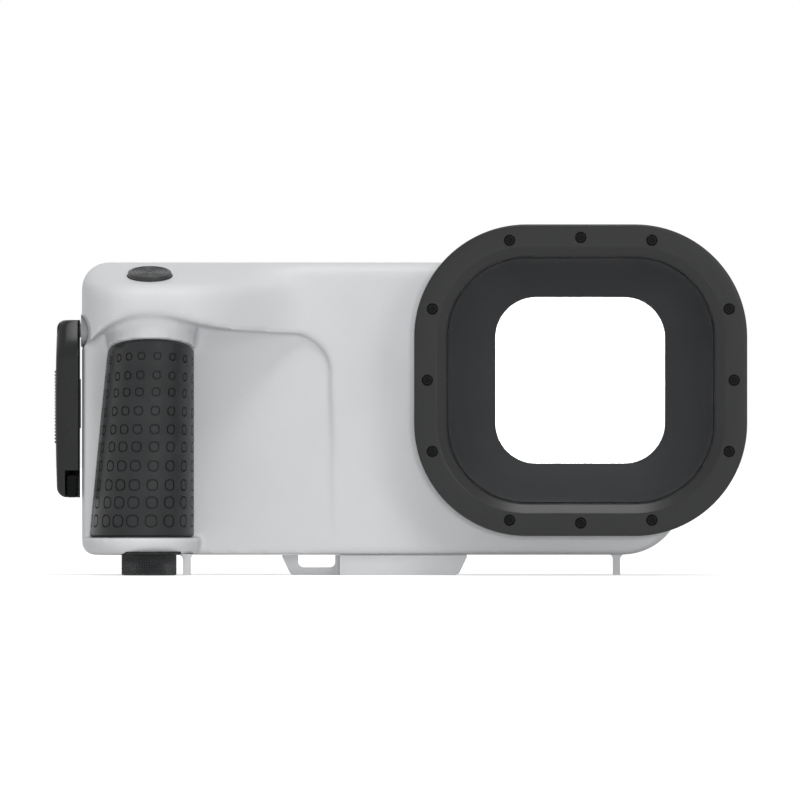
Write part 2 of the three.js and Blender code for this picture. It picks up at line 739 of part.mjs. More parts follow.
const shutterDish = 0.3;
const shutterEdge = 0.5;
const shutterRim = 1.5;
function shutterButton() {
  const profile = [
    [0, -shutterStemLength], [shutterStemRadius, -shutterStemLength],
    [shutterStemRadius, -shutterSkirt], [shutterRadius, -shutterSkirt],
    [shutterRadius, shutterProud - shutterEdge], [shutterRadius - shutterEdge, shutterProud],
    [shutterRadius - shutterRim, shutterProud],
    [shutterRadius - shutterRim - shutterEdge, shutterProud - shutterDish], [0, shutterProud - shutterDish],
  ];
  const body = turned(profile, 'z', [0, 0, 0], largeSides);
  return body.subtract(clipGroove());
}

const clipTop = -shutterBossLength - seatGap;
const clipGrooveDepth = 0.5;
const clipGroove = () => tube(shutterStemRadius - clipGrooveDepth, shutterStemRadius + cutOver,
  clipTop - clipThickness - stemGap, clipTop + stemGap, 'z', [0, 0, 0], smallSides);
const stemClip = () => tube(shutterStemRadius - clipGrooveDepth + stemGap, clipRadius,
  clipTop - clipThickness, clipTop, 'z', [0, 0, 0], smallSides);
const shutterSpring = () => tube(shutterSpringInner, shutterSpringOuter,
  -shutterSpringDepth + stemGap, -shutterSkirt - stemGap, 'z', [0, 0, 0], smallSides);
const shutterSeal = () => ring(shutterStemRadius + stemGap * 2, sealOuter,
  -shutterSpringDepth - columnWall / 2 - glandGap - sealHeight / 2, 'z', [0, 0, 0], smallSides);

// Latch: the hub turns on an X axis in a well in the body's left side
const hubSetback = 6.2;
const hubDrop = 21.8;
const hubRadius = 5.2;
const hubDepth = 2.3;
const hubWellGap = 0.4;
const hubBoss = 3.3;
const bearingRadius = 2.1;
const bearingLength = 5;
const pivotHeadRadius = 2.2;
const pivotHeadHeight = 1.2;
const pivotShankRadius = 1.1;
const pivotDepth = 4.4;
const hubY = panelY + hubSetback;
const hubZ = bodyTop - hubDrop;

const hubCentre = [0, hubY, hubZ];
const hubFloorX = bodyLeft + hubDepth;
const hubWell = () => bar(hubRadius + hubWellGap, bodyLeft - cutOver, hubFloorX, 'x', hubCentre, largeSides);
const hubWallBoss = () => bar(hubRadius, hubFloorX, cavityLeft + hubBoss, 'x', hubCentre, midSides);
const pivotHole = () => bar(pivotShankRadius + stemGap, bodyLeft, hubFloorX + pivotDepth + seatGap, 'x',
  hubCentre, smallSides);

function latchHub() {
  const inner = hubFloorX - seatGap;
  const face = leverInnerX + leverGap / 2;
  const profile = [
    [pivotShankRadius + stemGap, face - bearingLength], [bearingRadius, face - bearingLength],
    [bearingRadius, face], [hubRadius, face], [hubRadius, inner],
    [pivotShankRadius + stemGap, inner], [pivotShankRadius + stemGap, face - bearingLength],
  ];
  return turned(profile, 'x', hubCentre, midSides);
}

const pivotHeadX = leverInnerX + leverGap / 2 - bearingLength - seatGap;
function pivotScrew() {
  const profile = [
    [0, pivotHeadX - pivotHeadHeight], [pivotHeadRadius, pivotHeadX - pivotHeadHeight],
    [pivotHeadRadius, pivotHeadX], [pivotShankRadius, pivotHeadX],
    [pivotShankRadius, hubFloorX + pivotDepth], [0, hubFloorX + pivotDepth],
  ];
  const slot = bar(screwSocketRadius, pivotHeadX - pivotHeadHeight - cutOver,
    pivotHeadX - pivotHeadHeight / 3, 'x', hubCentre, hexSides);
  return turned(profile, 'x', hubCentre, midSides).subtract(slot);
}

// Lever: a thick bar that hangs from the hub, ribbed on its outer edge
const leverAboveHub = 3.4;
const leverLength = 56.8;
const leverWidthTop = 14;
const leverWidthBottom = 12;
const leverBow = 0.5;
const leverTopRound = 2.6;
const leverBottomRound = 3.2;
const leverEdge = 1.6;
const ribCount = 12;
const ribAboveEnd = 17.8;
const ribSpan = 22.4;
const ribProud = 0.35;
const ribHeight = 0.8;
const padProud = 0.3;
const padAboveEnd = 22.2;
const padHeight = 15.7;
const padWidth = 5;
const leverRoundHeightShare = 0.3;
const leverRoundInsetShare = 0.29;
const leverLevelShares = [0.35, 0.65];
const leverCornerSteps = 2;
const leverTopZ = hubZ + leverAboveHub;
const leverBottomZ = leverTopZ - leverLength;

// One level of the lever: inner edge, outer edge and width front to back
function leverRing(z, outerInset, edge) {
  const share = (z - leverBottomZ) / (leverTopZ - leverBottomZ);
  const half = mix(leverWidthBottom, leverWidthTop, share) / 2;
  const bow = leverBow * (1 - 4 * share * (1 - share));
  const outer = leverOuterX + ribProud + bow + outerInset;
  const corners = [
    [outer, hubY - half, edge], [leverInnerX, hubY - half, edge / 2],
    [leverInnerX, hubY + half, edge / 2], [outer, hubY + half, edge],
  ];
  return roundedOutline(corners, leverCornerSteps).map(([x, y]) => [x, y, z]);
}

function latchLever() {
  const [lowRise, highRise] = [leverBottomRound, leverTopRound].map((round) => round * leverRoundHeightShare);
  const rings = [
    leverRing(leverBottomZ, leverBottomRound, leverEdge),
    leverRing(leverBottomZ + lowRise, leverBottomRound * leverRoundInsetShare, leverEdge),
    leverRing(leverBottomZ + leverBottomRound, 0, leverEdge),
    ...leverLevelShares.map((share) => leverRing(mix(leverBottomZ, leverTopZ, share), 0, leverEdge)),
    leverRing(leverTopZ - leverTopRound, 0, leverEdge),
    leverRing(leverTopZ - highRise, leverTopRound * leverRoundInsetShare, leverEdge),
    leverRing(leverTopZ, leverTopRound, leverEdge),
  ];
  const ribs = [];
  for (let i = 0; i < ribCount; i += 1) {
    const z = leverBottomZ + ribAboveEnd + ribSpan * i / (ribCount - 1);
    const half = leverWidthBottom / 2 - leverEdge;
    ribs.push(block([leverOuterX, leverOuterX + leverEdge], [hubY - half, hubY + half],
      [z - ribHeight / 2, z + ribHeight / 2]));
  }
  const padLowZ = leverBottomZ + padAboveEnd;
  const pad = block([leverInnerX - leverEdge, leverInnerX + padProud],
    [hubY - padWidth / 2, hubY + padWidth / 2], [padLowZ, padLowZ + padHeight]);
  return without(union([loft(rings), pad, ...ribs]), [leverBores(), clawPlate(stemGap), lockPocket()]);
}

function leverBores() {
  const bearing = bar(bearingRadius + stemGap, pivotHeadX - seatGap, leverInnerX + cutOver, 'x',
    hubCentre, midSides);
  const head = bar(pivotHeadRadius + stemGap * 2, leverOuterX - cutOver, pivotHeadX - seatGap + stemGap, 'x',
    hubCentre, midSides);
  return union([bearing, head]);
}

// Claw: a steel plate in a slot of the lever, with a nose that points up behind the catch pin
const clawThickness = 2.4;
const clawShare = 0.55;
const clawArm = 5.6;
const clawNose = 3.2;
const clawNoseHeight = 3.4;
const clawRoot = 4;
const clawTaperShare = 0.7;
const catchAboveHub = 0.8;
const catchSetback = 5.2;
const catchRadius = 2;
const catchLength = 6.4;
const catchDepth = 4.4;
const catchY = doorFrontY + catchSetback;
const catchZ = hubZ + catchAboveHub;
const catchGap = 0.5;
const clawX = mix(leverOuterX, leverInnerX, clawShare);
const clawArmTop = catchZ - catchRadius - catchGap - clawNoseHeight;
const clawTipY = catchY + catchRadius + catchGap + clawNose;

function clawOutline(grow) {
  const rootZ = clawArmTop - clawArm - grow;
  return [
    [hubY - clawRoot - grow, rootZ], [clawTipY + grow, mix(clawArmTop - grow, rootZ, clawTaperShare)],
    [clawTipY + grow, catchZ - catchRadius - catchGap + grow],
    [clawTipY - clawNose - grow, catchZ - catchRadius - catchGap + grow],
    [clawTipY - clawNose - grow * 2, clawArmTop + grow],
    [hubY - clawRoot - grow, clawArmTop + grow],
  ];
}

const clawPlate = (grow) => prism(clawOutline(grow), 'x',
  clawX - clawThickness / 2 - grow, clawX + clawThickness / 2 + grow);
const catchCentre = [0, catchY, catchZ];
const catchPin = () => bar(catchRadius, bodyLeft - catchLength, bodyLeft + catchDepth, 'x',
  catchCentre, midSides);
const catchBore = () => bar(catchRadius + stemGap / 2, bodyLeft - cutOver, bodyLeft + catchDepth + seatGap,
  'x', catchCentre, midSides);

// Lock button: a sprung slider in the lever's lower end
const lockHeight = 7.2;
const lockTravel = 1.2;
const lockOuterWall = 3.7;
const lockInnerGap = 0.4;
const lockBackWall = 2.5;
const lockSpringRadius = 1.3;
const lockSpringLength = 6;
const lockTopZ = leverBottomZ + lockHeight;
const lockLeft = leverOuterX + lockOuterWall;
const lockSpringX = (lockLeft + leverInnerX) / 2;
const lockBackY = hubY + leverWidthBottom / 2 - lockBackWall;
const lockFrontY = hubY - leverWidthBottom / 2 + seamGap;

function lockPocket() {
  const pocket = block([lockLeft - runGap, leverInnerX + cutOver],
    [hubY - leverWidthTop, lockBackY + runGap], [leverBottomZ - cutOver, lockTopZ + lockTravel + seatGap]);
  const springBore = bar(lockSpringRadius + stemGap, lockTopZ, lockTopZ + lockTravel + lockSpringLength, 'z',
    [lockSpringX, hubY, 0], smallSides);
  return union([pocket, springBore]);
}

function lockButton() {
  const corners = [
    [lockLeft, lockFrontY, leverEdge / 2], [leverInnerX - lockInnerGap, lockFrontY, leverEdge / 2],
    [leverInnerX - lockInnerGap, lockBackY, leverEdge / 4], [lockLeft, lockBackY, leverEdge / 4],
  ];
  return prism(roundedOutline(corners, leverCornerSteps), 'z', leverBottomZ, lockTopZ);
}

const lockSpring = () => tube(lockSpringRadius / 2, lockSpringRadius, lockTopZ + stemGap,
  lockTopZ + lockTravel + lockSpringLength - stemGap, 'z', [lockSpringX, hubY, 0], smallSides);

// Vent under the grip: a collar in the shelf, a knurled cap and its O-ring
const ventSetback = 15;
const ventCapRadius = 8.8;
const ventCollarRadius = 10;
const ventCollarThickness = 0.8;
const ventBarrelRadius = 4;
const ventBarrelTop = 15;
const ventBoreRadius = 2.8;
const ventStemRadius = 2.4;
const ventStemTop = 13.4;
const ventDuctRadius = 1.2;
const ventSealInner = 5;
const ventSealOuter = 7;
const ventSealProud = 0.2;
const knurlCount = 24;
const knurlDepth = 0.5;
const ventInset = 21.6;
const ventCapHeight = bodyBottom - seatGap;
const ventX = bodyLeft + ventInset;
const ventY = panelY - ventSetback;
const ventCentre = [ventX, ventY, 0];
const collarBottomZ = ventCapHeight + seatGap + ventSealProud;
const collarTopZ = collarBottomZ + ventCollarThickness;

function ventCuts() {
  return [
    bar(ventCollarRadius + stemGap * 2, 0, collarTopZ + stemGap, 'z', ventCentre, largeSides),
    bar(ventBarrelRadius + stemGap, 0, ventBarrelTop + stemGap, 'z', ventCentre, midSides),
    bar(ventDuctRadius, ventBarrelTop - stemGap, hollowBottomZ + cutOver, 'z', ventCentre, smallSides),
  ];
}

function ventCollar() {
  const profile = [
    [ventBoreRadius, collarBottomZ], [ventCollarRadius, collarBottomZ], [ventCollarRadius, collarTopZ],
    [ventBarrelRadius, collarTopZ], [ventBarrelRadius, ventBarrelTop], [ventBoreRadius, ventBarrelTop],
    [ventBoreRadius, collarBottomZ],
  ];
  return turned(profile, 'z', ventCentre, midSides);
}

const ventGrooveFloor = ventCapHeight - (ventSealOuter - ventSealInner) + ventSealProud + stemGap;

// One level of the cap's knurl: upright ridges that go down to a plain circle when the depth is zero
function knurlRing(radius, depth, z) {
  return Array.from({ length: knurlCount * 2 }, (_, i) => {
    const angle = i * Math.PI / knurlCount;
    const reach = i % 2 === 0 ? radius : radius - depth;
    return [ventX + reach * Math.cos(angle), ventY + reach * Math.sin(angle), z];
  });
}

function ventCap() {
  const head = loft([
    knurlRing(ventCapRadius - knurlDepth, 0, 0), knurlRing(ventCapRadius, knurlDepth, knurlDepth),
    knurlRing(ventCapRadius, knurlDepth, ventCapHeight),
  ]);
  const stem = bar(ventStemRadius, ventCapHeight / 2, ventStemTop, 'z', ventCentre, midSides);
  const groove = tube(ventSealInner - stemGap, ventSealOuter + stemGap, ventGrooveFloor - stemGap,
    ventCapHeight + cutOver, 'z', ventCentre, largeSides);
  return head.add(stem).subtract(groove);
}

function ventSeal() {
  const halfHeight = (ventSealOuter - ventSealInner) / 2 * Math.sin(Math.PI * 2 / hexSides);
  return ring(ventSealInner, ventSealOuter, ventGrooveFloor + halfHeight, 'z', ventCentre, largeSides);
}

// Base rail under the body: a lanyard slot in a thin web, then a deeper block with a threaded insert
const railInset = 63.6;
const railLength = 59.9;
const railTaper = 3;
const railCorner = 2;
const railStep = 18.6;
const railSteps = 4;
const railFront = 2;
const railDepth = 20;
const webFront = 9;
const webDepth = 6;
const slotInset = 5.3;
const slotLength = 11.9;
const slotBottomZ = 2.4;
const slotCornerShare = 0.45;
const insertSetback = 19.7;
const insertRadius = 4.5;
const insertBore = 3.1;
const insertInset = 0.3;
const railLeft = bodyLeft + railInset;
const railRight = railLeft + railLength;
const slotLeft = railLeft + slotInset;
const slotRight = slotLeft + slotLength;
const railFrontY = panelY + railFront;
const railTopZ = bodyBottom - seatGap / 2;

function railOutline() {
  return roundedOutline([
    [railLeft + railTaper, 0, railCorner], [railRight - railTaper, 0, railCorner],
    [railRight, railTopZ, leastRadius / 2], [railLeft, railTopZ, leastRadius / 2],
  ], railSteps);
}

function baseRail() {
  const railBackY = railFrontY + railDepth;
  const deep = prism(railOutline(), 'y', railFrontY, railBackY);
  const stepCut = block([railLeft - cutOver, railLeft + railStep],
    [railFrontY - cutOver, railBackY + cutOver], [-cutOver, bodyBottom]);
  const web = prism(railOutline(), 'y', panelY + webFront, panelY + webFront + webDepth);
  const slotRound = (bodyBottom - slotBottomZ) * slotCornerShare;
  const slot = prism(roundedOutline([
    [slotLeft, slotBottomZ, slotRound], [slotRight, slotBottomZ, slotRound],
    [slotRight, bodyBottom + cutOver, leastRadius], [slotLeft, bodyBottom + cutOver, leastRadius],
  ], railSteps), 'y', panelY, splitY);
  const bore = bar(insertRadius + stemGap, -cutOver, railTopZ - insertInset, 'z', insertCentre, midSides);
  return without(deep.subtract(stepCut).add(web), [slot, bore]);
}

const insertCentre = [railRight - insertSetback, railFrontY + railDepth / 2, 0];
const tripodInsert = () => tube(insertBore, insertRadius, insertInset, railTopZ - insertInset * 2, 'z',
  insertCentre, midSides);

// Door hinge on the right side: barrels on a steel pin
const hingeOffsetX = 4;
const hingeOffsetY = 2;
const hingeRadius = 3.75;
const hingePinRadius = 1.5;
const hingeLowInset = 15.5;
const hingeHighInset = 16;
const hingeWebShare = 0.85;
const casingBarrel = 12;
const barrelGap = 0.4;
const hingeWebDepth = 13;
const hingeLowZ = bodyBottom + hingeLowInset;
const hingeHighZ = bodyTop - hingeHighInset;
const hingeX = bodyRight + hingeOffsetX;
const hingeY = splitY + hingeOffsetY;
const hingeCentre = [hingeX, hingeY, 0];

function casingHinge() {
  const barrels = [[hingeLowZ, hingeLowZ + casingBarrel], [hingeHighZ - casingBarrel, hingeHighZ]];
  return barrels.flatMap(([low, high]) => {
    const web = [
      [cavityRight + seatGap, splitY - hingeWebDepth], [bodyRight, splitY - hingeWebDepth],
      [hingeX + hingeRadius * hingeWebShare, hingeY - hingeRadius / 2], [hingeX, hingeY],
      [bodyRight + seamGap, splitY - seamGap], [cavityRight + seatGap, splitY - seamGap],
    ];
    return [bar(hingeRadius, low, high, 'z', hingeCentre, midSides), prism(web, 'z', low, high)];
  });
}

const hingeBore = () => bar(hingePinRadius + stemGap / 2, hingeLowZ - cutOver, hingeHighZ + cutOver, 'z',
  hingeCentre, smallSides);
const hingePin = () => bar(hingePinRadius, hingeLowZ, hingeHighZ, 'z', hingeCentre, smallSides);

// Seal groove in the casing's rear rim, and the seal in it
const grooveInset = 1.1;
const grooveWidth = 2.1;
const grooveDepth = 2.2;
const sealWidth = 1.7;
const sealProud = 0.2;
function outlineBand(corners, width, low, high) {
  return loft([
    atDepth(corners, low, hiddenSteps), atDepth(movedIn(corners, width), low, hiddenSteps),
    atDepth(movedIn(corners, width), high, hiddenSteps), atDepth(corners, high, hiddenSteps),
  ], true);
}
const sealGroove = () => outlineBand(movedIn(bodyCorners, grooveInset), grooveWidth,
  splitY - grooveDepth, splitY + cutOver);
const sealInset = grooveInset + (grooveWidth - sealWidth) / 2;
const doorSeal = () => outlineBand(movedIn(bodyCorners, sealInset), sealWidth,
  splitY - grooveDepth + stemGap, splitY + sealProud);

// Phone tray on four posts, with a sprung jaw that slides up
const phoneDepth = 8.6;
const phoneWidthLeast = 66;
const trayGap = 7.3;
const trayThickness = 2;
const trayLedge = 2.2;
const trayInset = 22.2;
const trayWindowGap = 4.4;
const trayShort = 3.5;
const trayLip = 2.4;
const trayLipThickness = 1.4;
const trayTabWidth = 14;
const trayTabShares = [0.12, 0.5, 0.88];
const jawSetback = 6;
const jawLength = 60;
const jawBar = 3;
const runnerWidth = 18;
const runnerSetback = 23;
const runnerLength = 18;
const runnerThickness = 1.8;
const guideWidth = 2.2;
const jawSpringRadius = 1.5;
const jawSpringLength = 22;
const trayPostRadius = 3;
const postRootShare = 0.75;
const trayLeft = bodyLeft + trayInset;
const trayRight = portCentreX - windowWidth / 2 - trayWindowGap;
const jawRight = trayRight - jawSetback;
const jawLeft = jawRight - jawLength;
const runnerX = jawRight - runnerSetback;
const trayFrontY = cavityFrontY + trayGap;
const trayBackY = trayFrontY + trayThickness;
const phoneBackY = trayBackY + seatGap;
const phoneScreenY = phoneBackY + phoneDepth;
const trayLipY = phoneScreenY + seatGap;
const trayFloorZ = cavityBottom + seatGap;
const phoneBottomZ = trayFloorZ + trayLedge;
const jawZ = phoneBottomZ + phoneWidthLeast;
const trayTopZ = jawZ - trayShort;
const runnerLowZ = jawZ - runnerLength;
const springLowZ = runnerLowZ - jawSpringLength;
const trayEnd = bodyRight - cornerRight;

function phoneTray() {
  const plate = block([trayLeft, trayRight], [trayFrontY, trayBackY], [trayFloorZ, trayTopZ]);
  const lipBackY = trayLipY + trayLipThickness;
  const ledge = block([trayLeft, trayEnd], [trayFrontY, lipBackY], [trayFloorZ, phoneBottomZ]);
  const stop = block([trayLeft, trayLeft + trayLedge], [trayFrontY, lipBackY], [trayFloorZ, trayTopZ]);
  const tabs = trayTabShares.map((share) => {
    const x = mix(trayLeft, trayEnd, share);
    return block([x - trayTabWidth / 2, x + trayTabWidth / 2], [trayLipY, lipBackY],
      [trayFloorZ, phoneBottomZ + trayLip]);
  });
  const guides = [-1, 1].map((side) => {
    const x = runnerX + side * (runnerWidth / 2 + runGap + guideWidth / 2);
    return block([x - guideWidth / 2, x + guideWidth / 2], [trayFrontY - runnerThickness, trayBackY],
      [runnerLowZ - runGap, trayTopZ]);
  });
  const peg = block([runnerX - jawSpringRadius * 2, runnerX + jawSpringRadius * 2],
    [trayFrontY - runnerThickness * 1.5, trayBackY], [springLowZ - jawBar, springLowZ - stemGap]);
  return union([plate, ledge, stop, peg, ...tabs, ...guides]);
}

function phoneJaw() {
  const runnerY = trayFrontY - seatGap;
  const low = runnerY - runnerThickness;
  const runner = block([runnerX - runnerWidth / 2, runnerX + runnerWidth / 2], [low, runnerY],
    [runnerLowZ, jawZ + jawBar]);
  const lipBackY = trayLipY + trayLipThickness;
  const barPiece = block([jawLeft, jawRight], [low, lipBackY], [jawZ, jawZ + jawBar]);
  const lip = block([jawLeft, jawRight], [trayLipY, lipBackY], [jawZ - trayLip, jawZ + jawBar]);
  return union([runner, barPiece, lip]);
}

const jawSpring = () => tube(jawSpringRadius / 2, jawSpringRadius, springLowZ, runnerLowZ - stemGap, 'z',
  [runnerX, trayFrontY - seatGap - jawSpringRadius, 0], smallSides);

function trayPosts() {
  const [left, right] = [trayLeft + trayTabWidth + trayPostRadius, trayRight - trayPostRadius];
  const [low, high] = [trayFloorZ + trayPostRadius * 2, trayTopZ - trayPostRadius];
  return [[left, low], [left, high], [right, low], [right, high]].map(([x, z]) => {
    const faceY = x < bodyLeft + pocketReach ? pocketFloorY(x, z) : panelY;
    return bar(trayPostRadius, faceY + frontWall * postRootShare, trayFrontY - seatGap, 'y', [x, 0, z], smallSides);
  });
}

// Control board behind the keys, on ledges of the casing's side, floor and roof
const boardInset = 0.3;
const boardWidth = 15.6;
const boardThickness = 1.6;
const boardLift = 8;
const boardDrop = 10.5;
const switchHeight = 3.5;
const switchSize = 6;
const switchPlunger = 1.6;
const ledgeWidth = 3;
const ledgeLap = 2.5;
const boardLowZ = cavityBottom + boardLift;
const boardHighZ = cavityTop - boardDrop;

// Keys on the door, one above the other in its left strip
const keyCount = 3;
const keyInset = 13.6;
const keyPitch = 19;
const keyDrop = 1.25;
const keyRadius = 5.6;
const keyWellGap = 0.4;
const keyWellDepth = 2.8;
const keyTravel = 1.2;
const keyStemRadius = 1.8;
const keyStemEnd = 16.5;
const keySpringInner = 2.5;
const keySpringOuter = 3.6;
const keySpringDepth = 8;
const keySealOuter = 3.1;
const keyBossRadius = 5;
const keyBossEnd = 13.5;
const keyEdge = 0.6;
const keyPlaces = Array.from({ length: keyCount }, (_, i) => [
  bodyLeft + keyInset, 0, (bodyBottom + bodyTop) / 2 - keyDrop + ((keyCount - 1) / 2 - i) * keyPitch]);
const keySkirtY = doorBackY - keyWellDepth + keyTravel + seatGap;
const keyClipY = doorBackY - keyBossEnd - seatGap;
const keyGlandY = doorBackY - keySpringDepth - sealHeight;
const switchTopY = doorBackY - keyStemEnd - keyTravel - seatGap;
const boardBackY = switchTopY - switchHeight;
const boardFrontY = boardBackY - boardThickness;

function controlBoard() {
  const left = cavityLeft + boardInset;
  const plate = block([left, left + boardWidth], [boardFrontY, boardBackY], [boardLowZ, boardHighZ]);
  const switches = keyPlaces.flatMap(([x, , z]) => [
    block([x - switchSize / 2, x + switchSize / 2],
      [boardFrontY + boardThickness / 2, switchTopY - switchPlunger / 2],
      [z - switchSize / 2, z + switchSize / 2]),
    bar(switchPlunger, boardBackY, switchTopY, 'y', [x, 0, z], smallSides),
  ]);
  return union([plate, ...switches]);
}

function boardLedges() {
  const left = cavityLeft + boardInset + boardWidth - ledgeWidth;
  const top = boardFrontY - seatGap;
  const post = ([low, high]) => block([left, left + ledgeWidth], [top - ledgeWidth * 2, top], [low, high]);
  const side = block([cavityLeft - seatGap, cavityLeft + ledgeWidth], [top - ledgeWidth, top],
    [boardLowZ, boardHighZ]);
  const [floor, roof] = [[cavityBottom - seatGap, boardLowZ + ledgeLap], [boardHighZ - ledgeLap, cavityTop + seatGap]];
  return [post(floor), post(roof), side];
}

// One key: cap and stem in one, a clip behind the boss, a spring and an O-ring in the door
function keyCap([x, , z]) {
  const profile = [
    [0, doorBackY - keyStemEnd], [keyStemRadius, doorBackY - keyStemEnd], [keyStemRadius, keySkirtY],
    [keyRadius, keySkirtY], [keyRadius, keyTopY - keyEdge], [keyRadius - keyEdge, keyTopY], [0, keyTopY],
  ];
  const groove = tube(keyStemRadius - clipGrooveDepth, keyStemRadius + cutOver,
    keyClipY - clipThickness - stemGap, keyClipY + stemGap, 'y', [x, 0, z], smallSides);
  return turned(profile, 'y', [x, 0, z], midSides).subtract(groove);
}
const keyClip = (place) => tube(keyStemRadius - clipGrooveDepth + stemGap, clipRadius,
  keyClipY - clipThickness, keyClipY, 'y', [place[0], 0, place[2]], smallSides);
const keySpring = (place) => tube(keySpringInner, keySpringOuter, doorBackY - keySpringDepth + stemGap,
  keySkirtY - stemGap, 'y', [place[0], 0, place[2]], smallSides);
const keySeal = (place) => ring(keyStemRadius + stemGap * 2, keySealOuter,
  keyGlandY - glandGap - sealHeight / 2, 'y', [place[0], 0, place[2]], smallSides);

function keyCuts([x, , z]) {
  const centre = [x, 0, z];
  return union([
    bar(keyRadius + keyWellGap, doorBackY - keyWellDepth, doorBackY + cutOver, 'y', centre, midSides),
    bar(keySpringOuter + glandGap, doorBackY - keySpringDepth, doorBackY, 'y', centre, smallSides),
    bar(keySealOuter + glandGap, keyGlandY - sealHeight - glandGap * 2, keyGlandY, 'y', centre, smallSides),
    bar(keyStemRadius + stemGap, doorBackY - keyBossEnd - cutOver, doorBackY, 'y', centre, smallSides),
  ]);
}

// Door: a moulded frame round a clear window, bonded in from inside
const doorEdgeRadius = 3.5;
const windowPlate = 5.5;
const bezelRise = 1.6;
const plateLap = 2;
const windowInset = 27.3;
const windowLeftRadius = 6;
const doorWall = 4;
const doorEdgeShares = [0.35, 0.7, 1];
const windowLeft = bodyLeft + windowInset;
const viewCorners = rectangle(windowLeft, cavityRight, cavityBottom, cavityTop,
  [windowLeftRadius, cornerRight - sideWall, cornerRight - sideWall, windowLeftRadius]);
const platePocketY = doorFrontY + windowPlate + seatGap;

function doorFrame() {
  const rings = [
    atDepth(bodyCorners, doorFrontY),
    atDepth(bodyCorners, doorBackY - doorEdgeRadius),
  ];
  for (const share of doorEdgeShares) {
    const angle = share * Math.PI / 2;
    const inset = doorEdgeRadius * (1 - Math.cos(angle));
    rings.push(atDepth(movedIn(bodyCorners, inset), doorBackY - doorEdgeRadius * (1 - Math.sin(angle))));
  }
  const view = loft([
    atDepth(viewCorners, doorFrontY - cutOver), atDepth(viewCorners, platePocketY),
    atDepth(movedIn(viewCorners, -bezelRise), doorBackY + seamGap),
  ]);
  const platePocket = loft([doorFrontY - cutOver, platePocketY].map((y) =>
    atDepth(movedIn(viewCorners, -plateLap - stemGap), y, hiddenSteps)));
  const keyBay = block([cavityLeft, windowLeft - plateLap - doorWall / 2],
    [doorFrontY - cutOver, doorBackY - doorWall],
    [cavityBottom + windowLeftRadius, cavityTop - windowLeftRadius]);
  const bosses = keyPlaces.map(([x, , z]) =>
    bar(keyBossRadius, doorBackY - keyBossEnd, doorBackY - doorWall / 2, 'y', [x, 0, z], midSides));
  const hingeLow = hingeLowZ + casingBarrel + barrelGap;
  const hingeHigh = hingeHighZ - casingBarrel - barrelGap;
  const webRootX = bodyRight - doorWall / 2;
  const web = prism([
    [webRootX, doorFrontY + seamGap], [hingeX - hingeRadius / 2, hingeY - hingeRadius / 3], [hingeX, hingeY],
    [hingeX, hingeY + hingeRadius * hingeWebShare], [webRootX, doorFrontY + doorWall * 2],
  ], 'z', hingeLow, hingeHigh);
  const barrel = bar(hingeRadius, hingeLow, hingeHigh, 'z', hingeCentre, midSides);
  const shell = without(loft(rings), [view, platePocket, keyBay]);
  return without(union([shell, web, barrel, ...bosses]), [hingeBore(), catchBore(), ...keyPlaces.map(keyCuts)]);
}

const rearWindow = () => loft([doorFrontY + stemGap, doorFrontY + windowPlate].map((y) =>
  atDepth(movedIn(viewCorners, -plateLap), y, hiddenSteps)));

// Battery cell upright in the column, in a holder that also carries the shutter's switch
const cellRadius = 7;
const cellLength = 50;
const cellInset = 22.6;
const cellSetback = 3.2;
const nubRadius = 2.7;
const nubHeight = 1;
const holderPlate = 1.6;
const holderHalfWidth = 5;
const holderFront = 7.3;
const cellX = bodyLeft + cellInset;
const cellY = panelY - cellSetback;
const holderBottomZ = hollowBottomZ + seatGap;
const cellBottomZ = holderBottomZ + holderPlate + seatGap;
const cellTopZ = cellBottomZ + cellLength;
const holderTopZ = cellTopZ + nubHeight + seatGap;

const batteryCell = () => turned([
  [0, cellBottomZ], [cellRadius, cellBottomZ], [cellRadius, cellTopZ], [nubRadius, cellTopZ],
  [nubRadius, cellTopZ + nubHeight], [0, cellTopZ + nubHeight],
], 'z', [cellX, cellY, 0], midSides);

function batteryHolder() {
  const spineY = cellY + cellRadius + seatGap;
  const sides = [cellX - holderHalfWidth, cellX + holderHalfWidth];
  const spine = block(sides, [spineY, spineY + holderPlate], [holderBottomZ, holderTopZ + holderPlate]);
  const plates = [holderBottomZ, holderTopZ].map((z) =>
    block(sides, [cellY - holderFront, spineY + holderPlate], [z, z + holderPlate]));
  return union([spine, ...plates]);
}

function shutterSwitch() {
  const tip = new THREE.Vector3(0, 0, -shutterStemLength).applyMatrix4(shutterFrame);
  const base = holderTopZ + holderPlate + seatGap / 2;
  const tipDrop = shutterStemRadius * Math.sin(shoulderTilt);
  const top = tip.z - tipDrop - shutterTravel - seatGap;
  const centre = [tip.x, tip.y, 0];
  const can = block([tip.x - switchSize / 2, tip.x + switchSize / 2],
    [tip.y - switchSize / 2, tip.y + switchSize / 2], [base, top - switchPlunger / 2]);
  return can.add(bar(switchPlunger, base, top, 'z', centre, smallSides));
}

